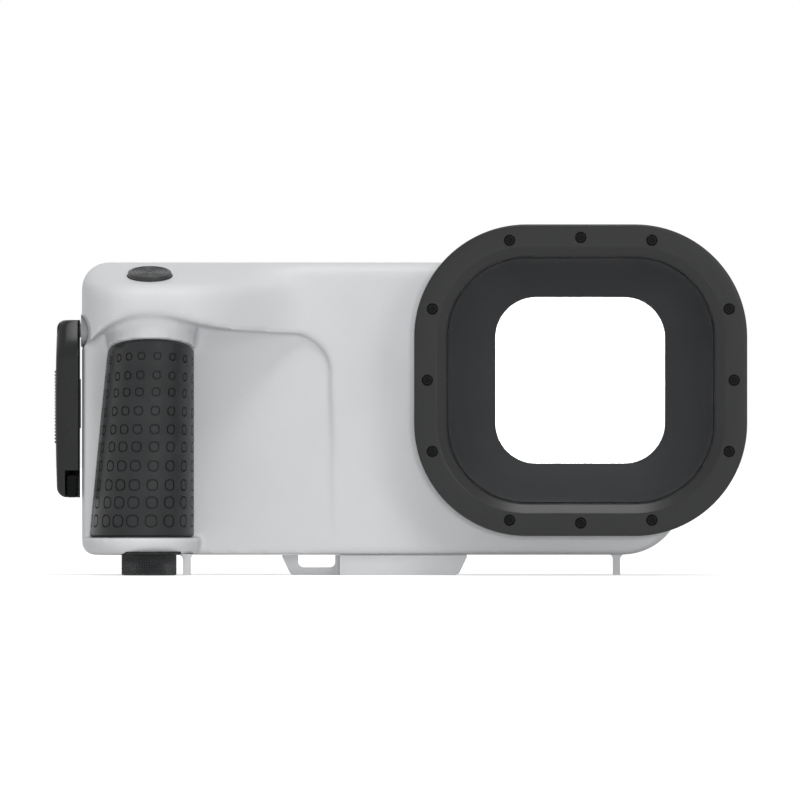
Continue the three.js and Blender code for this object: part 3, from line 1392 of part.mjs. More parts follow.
// Front casing: one moulding of body, tower, shoulder, column and feet
const bodyEdgeShares = [0, 0.3, 0.65, 1];
function frontShell() {
  const rings = [];
  for (const share of bodyEdgeShares) {
    const angle = share * Math.PI / 2;
    const inset = bodyEdgeRadius * (1 - Math.sin(angle));
    rings.push(atDepth(movedIn(bodyCorners, inset), panelY + bodyEdgeRadius * (1 - Math.cos(angle))));
  }
  rings.push(atDepth(bodyCorners, splitY));
  const body = loft(rings).subtract(pocketCut());
  const feet = [
    foot(bodyLeft + footLeftInset, panelY - footLeftFront),
    foot(bodyRight - footRightInset, panelY + bodyEdgeRadius),
  ];
  const outside = union([body, portTower(), shoulder(), ...gripColumn(), ...feet, ...casingHinge()]);
  const backing = pocketSlab(gripRightX - hollowInset, bodyLeft + pocketReach + frontWall,
    bodyBottom, archCrown[1] + frontWall, frontWall);
  const cavity = loft([cavityFrontY, splitY + cutOver].map((y) =>
    atDepth(movedIn(bodyCorners, sideWall), y, hiddenSteps))).subtract(backing);
  const view = loft([atDepth(windowCorners, ledgeY - cutOver), atDepth(windowCorners, cavityFrontY + cutOver)]);
  const hollow = columnHollow().subtract(shutterBoss());
  const hollowed = without(outside, [cavity, hollow, portTunnel(), view, hubWell()]);
  const fitted = union([hollowed, hubWallBoss(), ...trayPosts(), ...boardLedges()]);
  return without(fitted, [
    ...screwHoles(), sealGroove(), hingeBore(), pivotHole(), shutterCuts(), ...ventCuts(),
  ]);
}

// Gaskets of the port: one under the frame's flange, one behind the glass
const portGasketInset = 6.2;
const portGasketWidth = 0.9;
const portGasketDepth = 1.2;
const portGasketGroove = () => outlineBand(movedIn(portCorners, portGasketInset), portGasketWidth,
  towerFrontY - cutOver, towerFrontY + portGasketDepth);
const portGasket = () => outlineBand(movedIn(portCorners, portGasketInset + stemGap / 2),
  portGasketWidth - stemGap, towerFrontY - seamGap / 2, towerFrontY + portGasketDepth - stemGap);
const glassGasket = () => outlineBand(movedIn(windowCorners, -glassLand + runGap), glassLand - runGap * 2,
  glassBackY + seatGap, ledgeY - seatGap);
const portGlass = () => loft([glassFrontY, glassBackY].map((y) =>
  atDepth(movedIn(windowCorners, -glassLand), y, hiddenSteps)));

// Assembly
const housing = new THREE.Group();
const put = (name, solid, finish, parent = housing) => parent.add(meshOf(name, solid, finish));

put('front_shell', frontShell().subtract(portGasketGroove()), look.casing);
put('port_frame', portFrame(), look.portBlack);
put('port_gasket', portGasket(), look.seal);
put('glass_gasket', glassGasket(), look.seal);
put('port_glass', portGlass(), look.clear);
screwPlaces().forEach((place, i) =>
  put(`port_screw_${String(i + 1).padStart(2, '0')}`, portScrew(place), look.blackSteel));
put('grip_sleeve', gripSleeve(), look.rubber);
put('base_rail', baseRail(), look.casing);
put('tripod_insert', tripodInsert(), look.brass);
put('vent_collar', ventCollar(), look.blackPlastic);
put('vent_cap', ventCap(), look.blackPlastic);
put('vent_seal', ventSeal(), look.seal);

const shutter = new THREE.Group();
shutter.applyMatrix4(shutterFrame);
housing.add(shutter);
put('shutter_button', shutterButton(), look.blackPlastic, shutter);
put('shutter_clip', stemClip(), look.steel, shutter);
put('shutter_spring', shutterSpring(), look.steel, shutter);
put('shutter_seal', shutterSeal(), look.seal, shutter);
put('shutter_switch', shutterSwitch(), look.blackPlastic);

put('latch_hub', latchHub(), look.blackPlastic);
put('latch_pivot_screw', pivotScrew(), look.steel);
put('latch_lever', latchLever(), look.blackPlastic);
put('latch_claw', clawPlate(0), look.steel);
put('lock_button', lockButton(), look.blackPlastic);
put('lock_spring', lockSpring(), look.steel);
put('catch_pin', catchPin(), look.steel);

put('door_frame', doorFrame(), look.casing);
put('rear_window', rearWindow(), look.clear);
put('door_seal', doorSeal(), look.seal);
put('hinge_pin', hingePin(), look.steel);
keyPlaces.forEach((place, i) => {
  put(`key_cap_${i + 1}`, keyCap(place), look.blackPlastic);
  put(`key_clip_${i + 1}`, keyClip(place), look.steel);
  put(`key_spring_${i + 1}`, keySpring(place), look.steel);
  put(`key_seal_${i + 1}`, keySeal(place), look.seal);
});

put('phone_tray', phoneTray(), look.blackPlastic);
put('phone_jaw', phoneJaw(), look.blackPlastic);
put('jaw_spring', jawSpring(), look.steel);
put('control_board', controlBoard(), look.board);
put('battery_cell', batteryCell(), look.cellWrap);
put('battery_holder', batteryHolder(), look.blackPlastic);

export default housing;
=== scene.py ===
# Dive housing that turns a smartphone into an underwater camera: its looks, laid over the packed
# frame. X runs along the housing, Y from the port in front to the door behind, Z up.
import math

import bmesh
import bpy
from mathutils import Matrix, Vector


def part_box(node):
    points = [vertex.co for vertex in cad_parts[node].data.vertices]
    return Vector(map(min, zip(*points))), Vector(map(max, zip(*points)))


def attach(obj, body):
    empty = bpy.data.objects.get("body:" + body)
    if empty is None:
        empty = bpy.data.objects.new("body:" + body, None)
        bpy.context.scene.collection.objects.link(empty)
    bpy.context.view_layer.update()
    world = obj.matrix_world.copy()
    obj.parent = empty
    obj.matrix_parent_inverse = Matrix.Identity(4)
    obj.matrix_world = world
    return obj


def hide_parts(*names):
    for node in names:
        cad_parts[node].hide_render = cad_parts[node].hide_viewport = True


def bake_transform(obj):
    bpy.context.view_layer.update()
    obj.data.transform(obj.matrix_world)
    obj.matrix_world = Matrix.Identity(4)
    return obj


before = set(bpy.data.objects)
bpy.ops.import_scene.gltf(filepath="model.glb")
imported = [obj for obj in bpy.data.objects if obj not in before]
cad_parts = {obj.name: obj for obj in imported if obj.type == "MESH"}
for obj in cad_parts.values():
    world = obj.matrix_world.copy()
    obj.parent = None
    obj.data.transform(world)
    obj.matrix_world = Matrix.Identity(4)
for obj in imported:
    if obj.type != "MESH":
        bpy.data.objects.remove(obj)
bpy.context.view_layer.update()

# Front casing: one thick injection moulding of light grey polycarbonate, with the shoulder, the
# grip's column, the finger pocket and the tower that carries the port. The mould rounds every edge,
# so the outside is joined from lofts, softened as one skin, and only then bored and hollowed.
MM = 0.001
CORNER_STEPS = 14


def box_mm(name):
    low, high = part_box(name)
    return low / MM, high / MM


def middle_mm(name):
    return [(low + high) / 2 for low, high in zip(*box_mm(name))]


port_low, port_high = box_mm("port_frame")
door_low, door_high = box_mm("door_frame")
sleeve_low, sleeve_high = box_mm("grip_sleeve")
port_x, _, port_z = middle_mm("port_frame")
hinge_x, hinge_y, _ = middle_mm("hinge_pin")
# A cutter runs on by "over" beyond what it cuts.
seam_gap, seat_gap, over = 0.3, 0.3, 3.0
port_reach, hinge_out = 27, 4
panel_y = port_low.y + port_reach
split_y = door_low.y - seam_gap
body_left, body_bottom, body_top = door_low.x, door_low.z, door_high.z
body_right = hinge_x - hinge_out
side_wall, front_wall = 5.5, 4.0
cavity_front_y = panel_y + front_wall
body_height = body_top - body_bottom


def mix(start, end, share):
    return start + (end - start) * share


def rectangle(left, right, low, high, radii):
    return [(left, low, radii[0]), (right, low, radii[1]), (right, high, radii[2]), (left, high, radii[3])]


def moved_in(corners, distance, least=0.6):
    middle_u = sum(corner[0] for corner in corners) / len(corners)
    middle_v = sum(corner[1] for corner in corners) / len(corners)
    return [
        (u + distance if u < middle_u else u - distance, v + distance if v < middle_v else v - distance,
         max(radius - distance, least))
        for u, v, radius in corners
    ]


def mixed(start, end, share):
    return [tuple(mix(a, b, share) for a, b in zip(*pair)) for pair in zip(start, end)]


def rounded(corners, steps=CORNER_STEPS):
    """The points of an outline whose corners (u, v, radius) are rounded by arcs."""
    points = []
    for i, (u, v, radius) in enumerate(corners):
        here = Vector((u, v))
        back = (Vector(corners[i - 1][:2]) - here).normalized()
        ahead = (Vector(corners[(i + 1) % len(corners)][:2]) - here).normalized()
        half = back.angle(ahead) / 2
        centre = here + (back + ahead).normalized() * radius / math.sin(half)
        start = here + back * radius / math.tan(half) - centre
        turn = (math.pi - 2 * half) * (1 if back.cross(ahead) < 0 else -1)
        for step in range(steps + 1):
            angle = turn * step / steps
            points.append((
                centre.x + start.x * math.cos(angle) - start.y * math.sin(angle),
                centre.y + start.x * math.sin(angle) + start.y * math.cos(angle),
            ))
    return points


def at_depth(corners, y, steps=CORNER_STEPS):
    return [(x, y, z) for x, z in rounded(corners, steps)]


def upright(outline, y_low, y_high):
    return [[(x, y, z) for x, z in outline] for y in (y_low, y_high)]


def circle(radius, at, sides, axis="z", height=0.0):
    """A ring of points about an axis through a centre in millimetres."""
    points = []
    for i in range(sides):
        angle = 2 * math.pi * i / sides
        u, v = radius * math.cos(angle), radius * math.sin(angle)
        offset = {"x": (height, u, v), "y": (u, height, v), "z": (u, v, height)}[axis]
        points.append(tuple(a + b for a, b in zip(at, offset)))
    return points


def turned(profile, at, sides, axis="z"):
    """The rings of a turned piece, from its profile of (radius, height)."""
    return [circle(radius, at, sides, axis, height) for radius, height in profile]


def bar(radius, low, high, at, sides, axis="z"):
    return turned([(radius, low), (radius, high)], at, sides, axis)


def quarter_round(radius, steps):
    """How far a rounded edge stands in and along, from its face round to its side."""
    angles = [math.pi / 2 * k / steps for k in range(steps + 1)]
    return [(radius * (1 - math.sin(angle)), radius * (1 - math.cos(angle))) for angle in angles]


def skin(name, *forms, looped=False):
    """An object of closed skins, each through its own rings of points in millimetres."""
    work = bmesh.new()
    for rings in forms:
        grid = [[work.verts.new([value * MM for value in point]) for point in ring] for ring in rings]
        pairs = list(zip(grid, grid[1:] + grid[:1])) if looped else list(zip(grid, grid[1:]))
        for lower, upper in pairs:
            for i, corner in enumerate(lower):
                j = (i + 1) % len(lower)
                work.faces.new((corner, lower[j], upper[j], upper[i]))
        if not looped:
            work.faces.new(grid[0])
            work.faces.new(grid[-1])
    bmesh.ops.remove_doubles(work, verts=work.verts, dist=1e-7)
    bmesh.ops.dissolve_degenerate(work, edges=work.edges, dist=1e-7)
    bmesh.ops.recalc_face_normals(work, faces=work.faces)
    mesh = bpy.data.meshes.new(name)
    work.to_mesh(mesh)
    work.free()
    piece = bpy.data.objects.new(name, mesh)
    bpy.context.scene.collection.objects.link(piece)
    return piece


def settle(piece):
    """Turns a piece's modifiers into its mesh."""
    shown = piece.evaluated_get(bpy.context.evaluated_depsgraph_get())
    mesh = bpy.data.meshes.new_from_object(shown)
    piece.modifiers.clear()
    piece.data = mesh


def joined(piece, tools, operation):
    for tool in tools:
        change = piece.modifiers.new(tool.name, "BOOLEAN")
        change.operation, change.solver, change.object = operation, "MANIFOLD", tool
    settle(piece)
    for tool in tools:
        bpy.data.objects.remove(tool)
    return piece


def smooth(piece, sharp_over=32):
    piece.data.shade_smooth()
    piece.data.set_sharp_from_angle(angle=math.radians(sharp_over))


body_edge, top_left_radius = 4.5, 8.5
body_corners = rectangle(body_left, body_right, body_bottom, body_top, (4, 19.5, 19.5, top_left_radius))
port_radius, window_radius, window_half_width, window_half_height = 35.8, 13.1, 27.1, 26.6
port_corners = rectangle(port_low.x, port_high.x, port_low.z, port_high.z, (port_radius,) * 4)
window_corners = rectangle(port_x - window_half_width, port_x + window_half_width,
                           port_z - window_half_height, port_z + window_half_height, (window_radius,) * 4)
arch_shares = [(0.045, 0.735), (0.101, 0.775), (0.185, 0.808), (0.277, 0.818), (0.363, 0.807),
               (0.462, 0.786), (0.623, 0.766), (0.82, 0.757)]
pocket_reach = 81
pocket_right = body_left + pocket_reach
pocket_depth, pocket_rise, pocket_rise_down, pocket_corner, pocket_lean = 6, 4, 1.9, 13, 1.6
grip_right = sleeve_high.x
grip_back_y = panel_y + pocket_depth + front_wall / 2
grip_bottom_z, grip_rim_z = sleeve_low.z, sleeve_high.z
grip_width_bottom, grip_width_top, grip_reach, grip_boxiness = 33.3, 27.4, 22, 2.2
grip_rim_drop, grip_rim_power = 3.3, 3


def smoothed_curve(points, spans):
    """A smooth curve through given points, as evenly shared points."""
    result = []
    for k in range(spans + 1):
        place = k / spans * (len(points) - 1)
        i = min(int(place), len(points) - 2)
        t = place - i
        a, b, c, d = (Vector(points[min(max(i + n, 0), len(points) - 1)]) for n in (-1, 0, 1, 2))
        result.append(tuple(0.5 * (2 * b + (c - a) * t + (2 * a - 5 * b + 4 * c - d) * t * t
                                   + (3 * b - a - 3 * c + d) * t ** 3)))
    return result


# The arch is the brow's lower edge, which runs over the grip's neck and the finger pocket.
arch = smoothed_curve(
    [(body_left + pocket_reach * u, body_bottom + body_height * v) for u, v in arch_shares], 42)


def grip_left(z):
    share = (z - grip_bottom_z) / (grip_rim_z - grip_bottom_z)
    return grip_right - mix(grip_width_bottom, grip_width_top, share)


def grip_point(z, turn, grow):
    """A point of the D section at a turn of 0 to pi round its front, and its front share."""
    left, right = grip_left(z) - grow, grip_right + grow
    c, s = math.cos(turn), max(math.sin(turn), 0)
    x = (left + right) / 2 - (right - left) / 2 * math.copysign(abs(c) ** (2 / grip_boxiness), c)
    return x, panel_y - (grip_reach + grow) * s ** (2 / grip_boxiness), s


def grip_ring(z, grow, height=None, back_y=None, steps=40):
    height = height or (lambda s: z)
    back = grip_back_y if back_y is None else back_y
    ring = [(grip_left(z) - grow, back, height(0))]
    for i in range(steps + 1):
        x, y, s = grip_point(z, math.pi * i / steps, grow)
        ring.append((x, y, height(s)))
    return ring + [(grip_right + grow, back, height(0))]


def arched(share, lift=0.0):
    """The height of a level of the grip, which drops towards the back, and most at the rim."""
    level = mix(grip_bottom_z, grip_rim_z, share) + lift
    return lambda s: level - grip_rim_drop * share ** grip_rim_power * (1 - s)


def pocket_floor_y(x, z):
    across = (x - grip_right) / (pocket_right - grip_right)
    down = (arch[-1][1] - z) / (arch[-1][1] - body_bottom)
    return panel_y + pocket_depth - pocket_rise * across - pocket_rise_down * down


def pocket_slab(name, left, right, low, high, offset):
    corners = [(left, low), (right, low), (right, high), (left, high)]
    return skin(name, [[(x, brow_y - over, z) for x, z in corners],
                       [(x, pocket_floor_y(x, z) + offset, z) for x, z in corners]])


def finger_pocket(grow):
    """The pocket beside the grip, whose outline is soft: grow moves its floor."""
    middle = (grip_left(grip_bottom_z) + grip_right) / 2
    top, low = arch[-1][1], body_bottom - over
    corner = rounded([(pocket_right - pocket_lean, top, pocket_corner), (pocket_right, low, 0.6),
                      (middle, low, 0.6), (middle, top, 0.6)])[:CORNER_STEPS + 1]
    edge = [point for point in arch if middle < point[0] < corner[0][0]]
    outline = [(middle, low), (middle, edge[0][1]), *edge, *corner, (pocket_right, low)]
    pocket = skin("pocket", upright(outline, brow_y - over, split_y))
    slab = pocket_slab("slab", body_left, pocket_right + over, body_bottom - 2 * over, body_top, grow)
    return joined(pocket, [slab], "INTERSECT")


crest_y, brow_y, brow_radius, shoulder_tilt = panel_y + 2, panel_y - 26, 6, math.radians(16)
shoulder_width, shoulder_left_share, shoulder_flat_share, shoulder_boxiness = 74, 0.23, 0.41, 2.1
shoulder_steps, shoulder_low_z, crest_drop = 60, 60, 0.35


def shoulder_ring(z, front_y):
    over_corner = z - (body_top - top_left_radius)
    left = body_left
    if over_corner > 0:
        left += top_left_radius - math.sqrt(max(top_left_radius ** 2 - over_corner ** 2, 0))
    over_edge = max(z - (body_top - body_edge), 0)
    root_y = panel_y + body_edge - math.sqrt(max(body_edge ** 2 - over_edge ** 2, 0)) + 0.1
    width = body_left + shoulder_width - left
    ring = [(left, split_y - over, z)]
    for i in range(shoulder_steps + 1):
        share = (i / shoulder_steps) ** 1.4
        reach = 1
        if share < shoulder_left_share:
            reach = (1 - (1 - share / shoulder_left_share) ** shoulder_boxiness) ** (1 / shoulder_boxiness)
        elif share > shoulder_flat_share:
            t = (share - shoulder_flat_share) / (1 - shoulder_flat_share)
            reach = 1 - t * t * (3 - 2 * t)
        ring.append((left + width * share, mix(root_y, min(front_y, root_y), reach), z))
    return ring + [(left + width, split_y - over, z)]


def shoulder():
    """The sloping shoulder over the grip, from its crest over a rounded brow, cut along the arch."""
    tan, sin, cos = math.tan(shoulder_tilt), math.sin(shoulder_tilt), math.cos(shoulder_tilt)
    slope_end = brow_y + brow_radius * (1 - sin)
    arc_z = body_top - (crest_y - slope_end) * tan - brow_radius * cos
    levels = []
    for i in range(9):
        y = mix(crest_y - crest_drop / tan, slope_end, i / 8)
        levels.append((body_top - (crest_y - y) * tan, y))
    for i in range(1, 10):
        angle = mix(math.pi / 2 - shoulder_tilt, 0, i / 9)
        levels.append((arc_z + brow_radius * math.sin(angle), brow_y + brow_radius * (1 - math.cos(angle))))
    levels.append((shoulder_low_z, brow_y))
    mass = skin("shoulder", [shoulder_ring(z, y) for z, y in levels])
    left, right, low = body_left - over, pocket_right + over, shoulder_low_z - over
    below = [(left, low), (left, arch[0][1] - over), *arch, (right, arch[-1][1]), (right, low)]
    return joined(mass, [skin("below_arch", upright(below, brow_y - over, split_y + over))], "DIFFERENCE")


def casing_body():
    """The casing without its grip, tower and shoulder; its front edge is tighter on the left and below."""
    tighter = 0.65
    rings = []
    for inset, back in quarter_round(body_edge, 8):
        corners = [(u - tighter * inset if u < 0 else u, v - tighter * inset if v < port_z else v, radius)
                   for u, v, radius in moved_in(body_corners, inset)]
        rings.append(at_depth(corners, panel_y + back))
    rings.append(at_depth(body_corners, split_y + over))
    return joined(skin("casing_moulding", rings), [finger_pocket(0)], "DIFFERENCE")


def port_tower():
    """Straight behind the port frame, then drawn in to the body's right end."""
    lip_inset, tower_inset, root_inset, root_radius = 0.8, 1.4, 2.6, 24
    face_y, straight_y, root_y = port_low.y + 8.3, port_low.y + 16.3, panel_y + 15
    root = rectangle(mix(body_left, body_right, 0.62), body_right - root_inset,
                     mix(body_bottom, body_top, 0.12), body_top - root_inset, (root_radius,) * 4)
    front = moved_in(port_corners, tower_inset)
    rings = [at_depth(moved_in(port_corners, lip_inset), face_y), at_depth(front, straight_y)]
    for inward, back in ((0.14, 0.11), (0.3, 0.24), (0.48, 0.39), (0.66, 0.54), (0.83, 0.76), (1, 1)):
        rings.append(at_depth(mixed(front, root, inward), mix(straight_y, root_y, back)))
    return skin("port_tower", rings)


def grip_column():
    """The column inside the sleeve, its neck above it, and the shelf that the sleeve stands on."""
    core_inset, neck_proud, shelf_proud, shelf_edge = 2.5, 0.4, 2, 3.4
    neck_top = mix(body_bottom, body_top, 0.9)
    core = skin("column_core", [grip_ring(grip_bottom_z, -core_inset, lambda s: body_bottom + shelf_edge),
                                grip_ring(grip_rim_z, -core_inset, lambda s: grip_rim_z + over)])
    neck = skin("neck", [grip_ring(grip_rim_z, neck_proud, arched(1, seat_gap)),
                         grip_ring(neck_top, neck_proud, lambda s: neck_top)])
    rings = []
    for inset, rise in quarter_round(shelf_edge, 6):
        z = body_bottom + rise
        rings.append(grip_ring(grip_bottom_z, shelf_proud - inset, lambda s, z=z: z))
    rings.append(grip_ring(grip_bottom_z, shelf_proud, lambda s: grip_bottom_z - seam_gap))
    return [core, neck, skin("shelf", rings)]


casing = joined(casing_body(), [port_tower(), shoulder(), *grip_column()], "UNION")
skin_voxel, ease_rounds, flow_rounds = 0.8, 8, 60
soften = casing.modifiers.new("one_skin", "REMESH")
soften.mode, soften.voxel_size = "VOXEL", skin_voxel * MM
ease = casing.modifiers.new("mould_radius", "SMOOTH")
ease.factor, ease.iterations = 0.5, ease_rounds
settle(casing)


def held(value, start, end):
    """How far a value has come from a start to an end, from 0 to 1."""
    return min(max((value - start) / (end - start), 0), 1)


def neck_share(point):
    """How much of a point belongs to the soft neck between the grip's rim and the shoulder.

    It fades over a few millimetres at the casing's left side, at the rim, below the shoulder's slope
    and, more slowly, towards the arch.
    """
    x, y, z = (value / MM for value in point)
    forward = min(max((panel_y - y) / grip_reach, 0), 1) ** 1.1
    rim = grip_rim_z - grip_rim_drop * (1 - forward)
    across = held(x, body_left + 0.8, body_left + 3.5) * held(x, body_left + 48, body_left + 36)
    return across * held(z, rim + 0.8, rim + 2.6) * held(z, grip_rim_z + 13, grip_rim_z + 9)


# The neck flows into the shoulder and the casing's left side with radii of several millimetres.
neck_group = casing.vertex_groups.new(name="neck")
for vertex in casing.data.vertices:
    share = neck_share(vertex.co)
    if share > 0:
        neck_group.add([vertex.index], share, "REPLACE")
flow = casing.modifiers.new("neck_flow", "SMOOTH")
flow.factor, flow.iterations, flow.vertex_group = 0.5, flow_rounds, "neck"
settle(casing)
casing.vertex_groups.clear()


def foot(x, front_y):
    """A thin rib that the housing stands on, with a fillet where it meets the casing."""
    half, fillet = 1.1, 1.2
    outline = [(x - half, 0), (x + half, 0), (x + half, body_bottom - fillet),
               (x + half + 0.35 * fillet, body_bottom - 0.35 * fillet),
               (x + half + fillet, body_bottom + seam_gap),
               (x - half - fillet, body_bottom + seam_gap),
               (x - half - 0.35 * fillet, body_bottom - 0.35 * fillet),
               (x - half, body_bottom - fillet)]
    return upright(outline, front_y, split_y - over)


barrel_radius, barrel_length, pin_bore_radius = 3.75, 12, 1.58


def casing_hinges():
    """The casing's two hinge barrels, each on a web that grows out of its right side."""
    root_x, front_y, back_y = body_right - 5.2, split_y - 13, split_y - seam_gap
    web = [(root_x, front_y), (body_right, front_y), (hinge_x + 3.2, hinge_y - 1.9), (hinge_x, hinge_y),
           (body_right + seam_gap, back_y), (root_x, back_y)]
    barrels, webs = [], []
    for low in (body_bottom + 15.5, body_top - 28):
        high = low + barrel_length
        barrels.append(bar(barrel_radius, low, high, (hinge_x, hinge_y, 0), 40))
        webs.append([[(x, y, z) for x, y in web] for z in (low, high)])
    return [skin("hinge_barrels", *barrels), skin("hinge_webs", *webs)]


feet = skin("feet", foot(body_left + 33.5, panel_y - 14), foot(body_right - 21.3, panel_y + body_edge))
joined(casing, [feet, *casing_hinges()], "UNION")

# Bores and hollows of the casing: the phone's cavity, the column's hollow, the port's tunnel and
# view, the well of the latch hub, the seal's groove and the holes of the pins and screws. They are
# cut into the soft skin, so their edges stay crisp as a core pin of the mould leaves them.
ledge_y = panel_y + 1
funnel_inset, funnel_wall, mouth_depth, flange_depth = 10.9, 3.2, 3.4, 8
funnel_end_y = box_mm("port_glass")[0].y - seat_gap
funnel_mouth = moved_in(port_corners, funnel_inset)
funnel_mouth_y = port_low.y + mouth_depth
flange_back_y = port_low.y + flange_depth
tunnel_share = (flange_back_y - funnel_mouth_y) / (funnel_end_y - funnel_mouth_y)
funnel_back = moved_in(mixed(funnel_mouth, window_corners, tunnel_share), -funnel_wall)
_, hub_y, hub_z = middle_mm("latch_hub")
hub_well_radius, hub_boss_radius, hub_floor_x = 5.6, 5.2, body_left + 2.3
screw_places = [(x, z) for x, _, z in (middle_mm(f"port_screw_{i:02d}") for i in range(1, 13))]
screw_hole_radius = 1.15
collar_low, collar_high = box_mm("vent_collar")
vent_x, vent_y, _ = middle_mm("vent_collar")
collar_seat_radius, duct_radius = 10.3, 4.15
shutter_in, shutter_down = 21.8, 15.75
shutter_tilt = Matrix.Rotation(shoulder_tilt, 4, "X")
shutter_at = Vector((body_left + shutter_in, crest_y - shutter_down * math.cos(shoulder_tilt),
                     body_top - shutter_down * math.sin(shoulder_tilt)))
column_wall = 5.5


def on_slope(rings):
    return [[tuple(shutter_at + shutter_tilt @ Vector(point)) for point in ring] for ring in rings]


def band(corners, width, low_y, high_y):
    inner = moved_in(corners, width)
    return [at_depth(edge, y) for edge, y in (
        (corners, low_y), (inner, low_y), (inner, high_y), (corners, high_y))]


def cavity():
    """The phone's room, with the wall behind the finger pocket left standing in it."""
    inside = moved_in(body_corners, side_wall)
    room = skin("cavity", [at_depth(inside, y) for y in (cavity_front_y, split_y + 2 * over)])
    backing = pocket_slab("backing", grip_right - column_wall, pocket_right + front_wall, body_bottom,
                          max(z for _, z in arch) + front_wall, front_wall)
    return joined(room, [backing], "DIFFERENCE")


def column_hollow():
    """The hollow of the grip's column, round a boss that guides the shutter button's stem."""
    boss = skin("boss", on_slope(bar(5.6, -13, -4, (0, 0, 0), 32)))
    hollow = skin("hollow", [grip_ring(z, -column_wall, None, cavity_front_y + over, 20)
                             for z in (body_bottom + 10.5, body_top - 14)])
    return joined(hollow, [boss], "DIFFERENCE")


def port_tunnel():
    """The room of the funnel behind the port's flange, down to the ledge that the glass lies on."""
    seat_land, funnel_gap, lead = 5.15, 0.6, 3.3
    seat = moved_in(window_corners, -seat_land)
    mouth = moved_in(funnel_back, -funnel_gap)
    beyond = -lead / (funnel_end_y - flange_back_y)
    return skin("tunnel", [at_depth(edge, y) for edge, y in (
        (mixed(mouth, seat, beyond), flange_back_y - lead), (mouth, flange_back_y),
        (seat, funnel_end_y), (seat, ledge_y))])


def round_x(name, radius, start, end, y, z, sides=40):
    return skin(name, bar(radius, start, end, (0, y, z), sides, "x"))


def tray_posts():
    """Four posts behind the casing's front wall, which hold the phone's tray."""
    tray_low, tray_high = box_mm("phone_tray")
    post_radius, plate_right = 3, port_x - 31.5
    forms = []
    for x in (tray_low.x + 17, plate_right - 3):
        for z in (tray_low.z + 6, tray_high.z - 3):
            wall = pocket_floor_y(x, z) if x < pocket_right else panel_y
            forms.append(bar(post_radius, wall + 3, tray_low.y + 1.5, (x, 0, z), 24, "y"))
    return skin("tray_posts", *forms)


def hinge_bore():
    return skin("hinge_bore", bar(pin_bore_radius, body_bottom, body_top, (hinge_x, hinge_y, 0), 24))


joined(casing, [
    skin("rear_trim", [at_depth(moved_in(body_corners, -1.0), y, 6) for y in (split_y, split_y + 2 * over)]),
    cavity(), column_hollow(), port_tunnel(),
    skin("view", [at_depth(window_corners, y) for y in (ledge_y - over, cavity_front_y + over)]),
    round_x("hub_well", hub_well_radius, body_left - over, hub_floor_x, hub_y, hub_z, 64),
    skin("hub_notch", turned([(9.6, crest_y - 26), (9.2, crest_y - 13), (8.3, crest_y - 4), (8.3, hub_y + 5)],
                             (body_left - 6.2, 0, hub_z - 0.6), 72, "y")),
], "DIFFERENCE")
hub_boss = round_x("hub_boss", hub_boss_radius, hub_floor_x, body_left + side_wall + 3.3, hub_y, hub_z)
joined(casing, [hub_boss, tray_posts()], "UNION")
shutter_well = [(2.15, -16), (2.15, -8), (3.9, -8), (3.9, -3.2), (7.35, -3.2), (7.35, 3)]
collar_seat = [(collar_seat_radius, 0), (collar_seat_radius, collar_low.z + 0.95),
               (duct_radius, collar_low.z + 0.95), (duct_radius, collar_high.z + 0.15)]
joined(casing, [
    skin("screw_holes", *[bar(screw_hole_radius, port_low.y + 5, port_low.y + 14, (x, 0, z), 16, "y")
                          for x, z in screw_places]),
    skin("seal_groove", band(moved_in(body_corners, 1.1), 2.1, split_y - 2.2, split_y + over), looped=True),
    hinge_bore(),
    round_x("pivot_hole", 1.25, body_left, body_left + 7, hub_y, hub_z, 20),
    skin("shutter_well", on_slope(turned(shutter_well, (0, 0, 0), 72))),
    skin("collar_seat", turned(collar_seat, (vent_x, vent_y, 0), 64)),
], "DIFFERENCE")


def linear(hex_colour):
    """An sRGB hex colour as linear RGBA."""
    channels = [int(hex_colour[i:i + 2], 16) / 255 for i in (1, 3, 5)]
    return tuple(c / 12.92 if c <= 0.04045 else ((c + 0.055) / 1.055) ** 2.4 for c in channels) + (1.0,)


def wire(made, **inputs):
    """Sets a node's sockets to values, or links them; a node given stands for its first output."""
    for key, value in inputs.items():
        socket = made.inputs[int(key[1:]) if key[1:].isdigit() else key.replace("_", " ")]
        if isinstance(value, bpy.types.Node):
            value = value.outputs[0]
        if isinstance(value, bpy.types.NodeSocket):
            made.id_data.links.new(value, socket)
        else:
            socket.default_value = value
    return made


def node(tree, kind, settings=None, stops=(), **inputs):
    """Adds one node; settings are its own values, stops are (place, colour) of a ramp's two ends."""
    made = tree.nodes.new(kind)
    for key, value in (settings or {}).items():
        setattr(made, key, value)
    for i, (position, colour) in enumerate(stops):
        stop = made.color_ramp.elements[i]
        stop.position, stop.color = position, linear(colour)
    return wire(made, **inputs)


def finish(name, **shader):
    """A material with a principled shader, and the object's own coordinates in metres."""
    made = bpy.data.materials.new(name)
    made.use_nodes = True
    tree = made.node_tree
    tree.nodes.clear()
    surface = node(tree, "ShaderNodeBsdfPrincipled", **shader)
    node(tree, "ShaderNodeOutputMaterial", Surface=surface)
    place = node(tree, "ShaderNodeTexCoord").outputs["Object"]
    return made, tree, surface, place


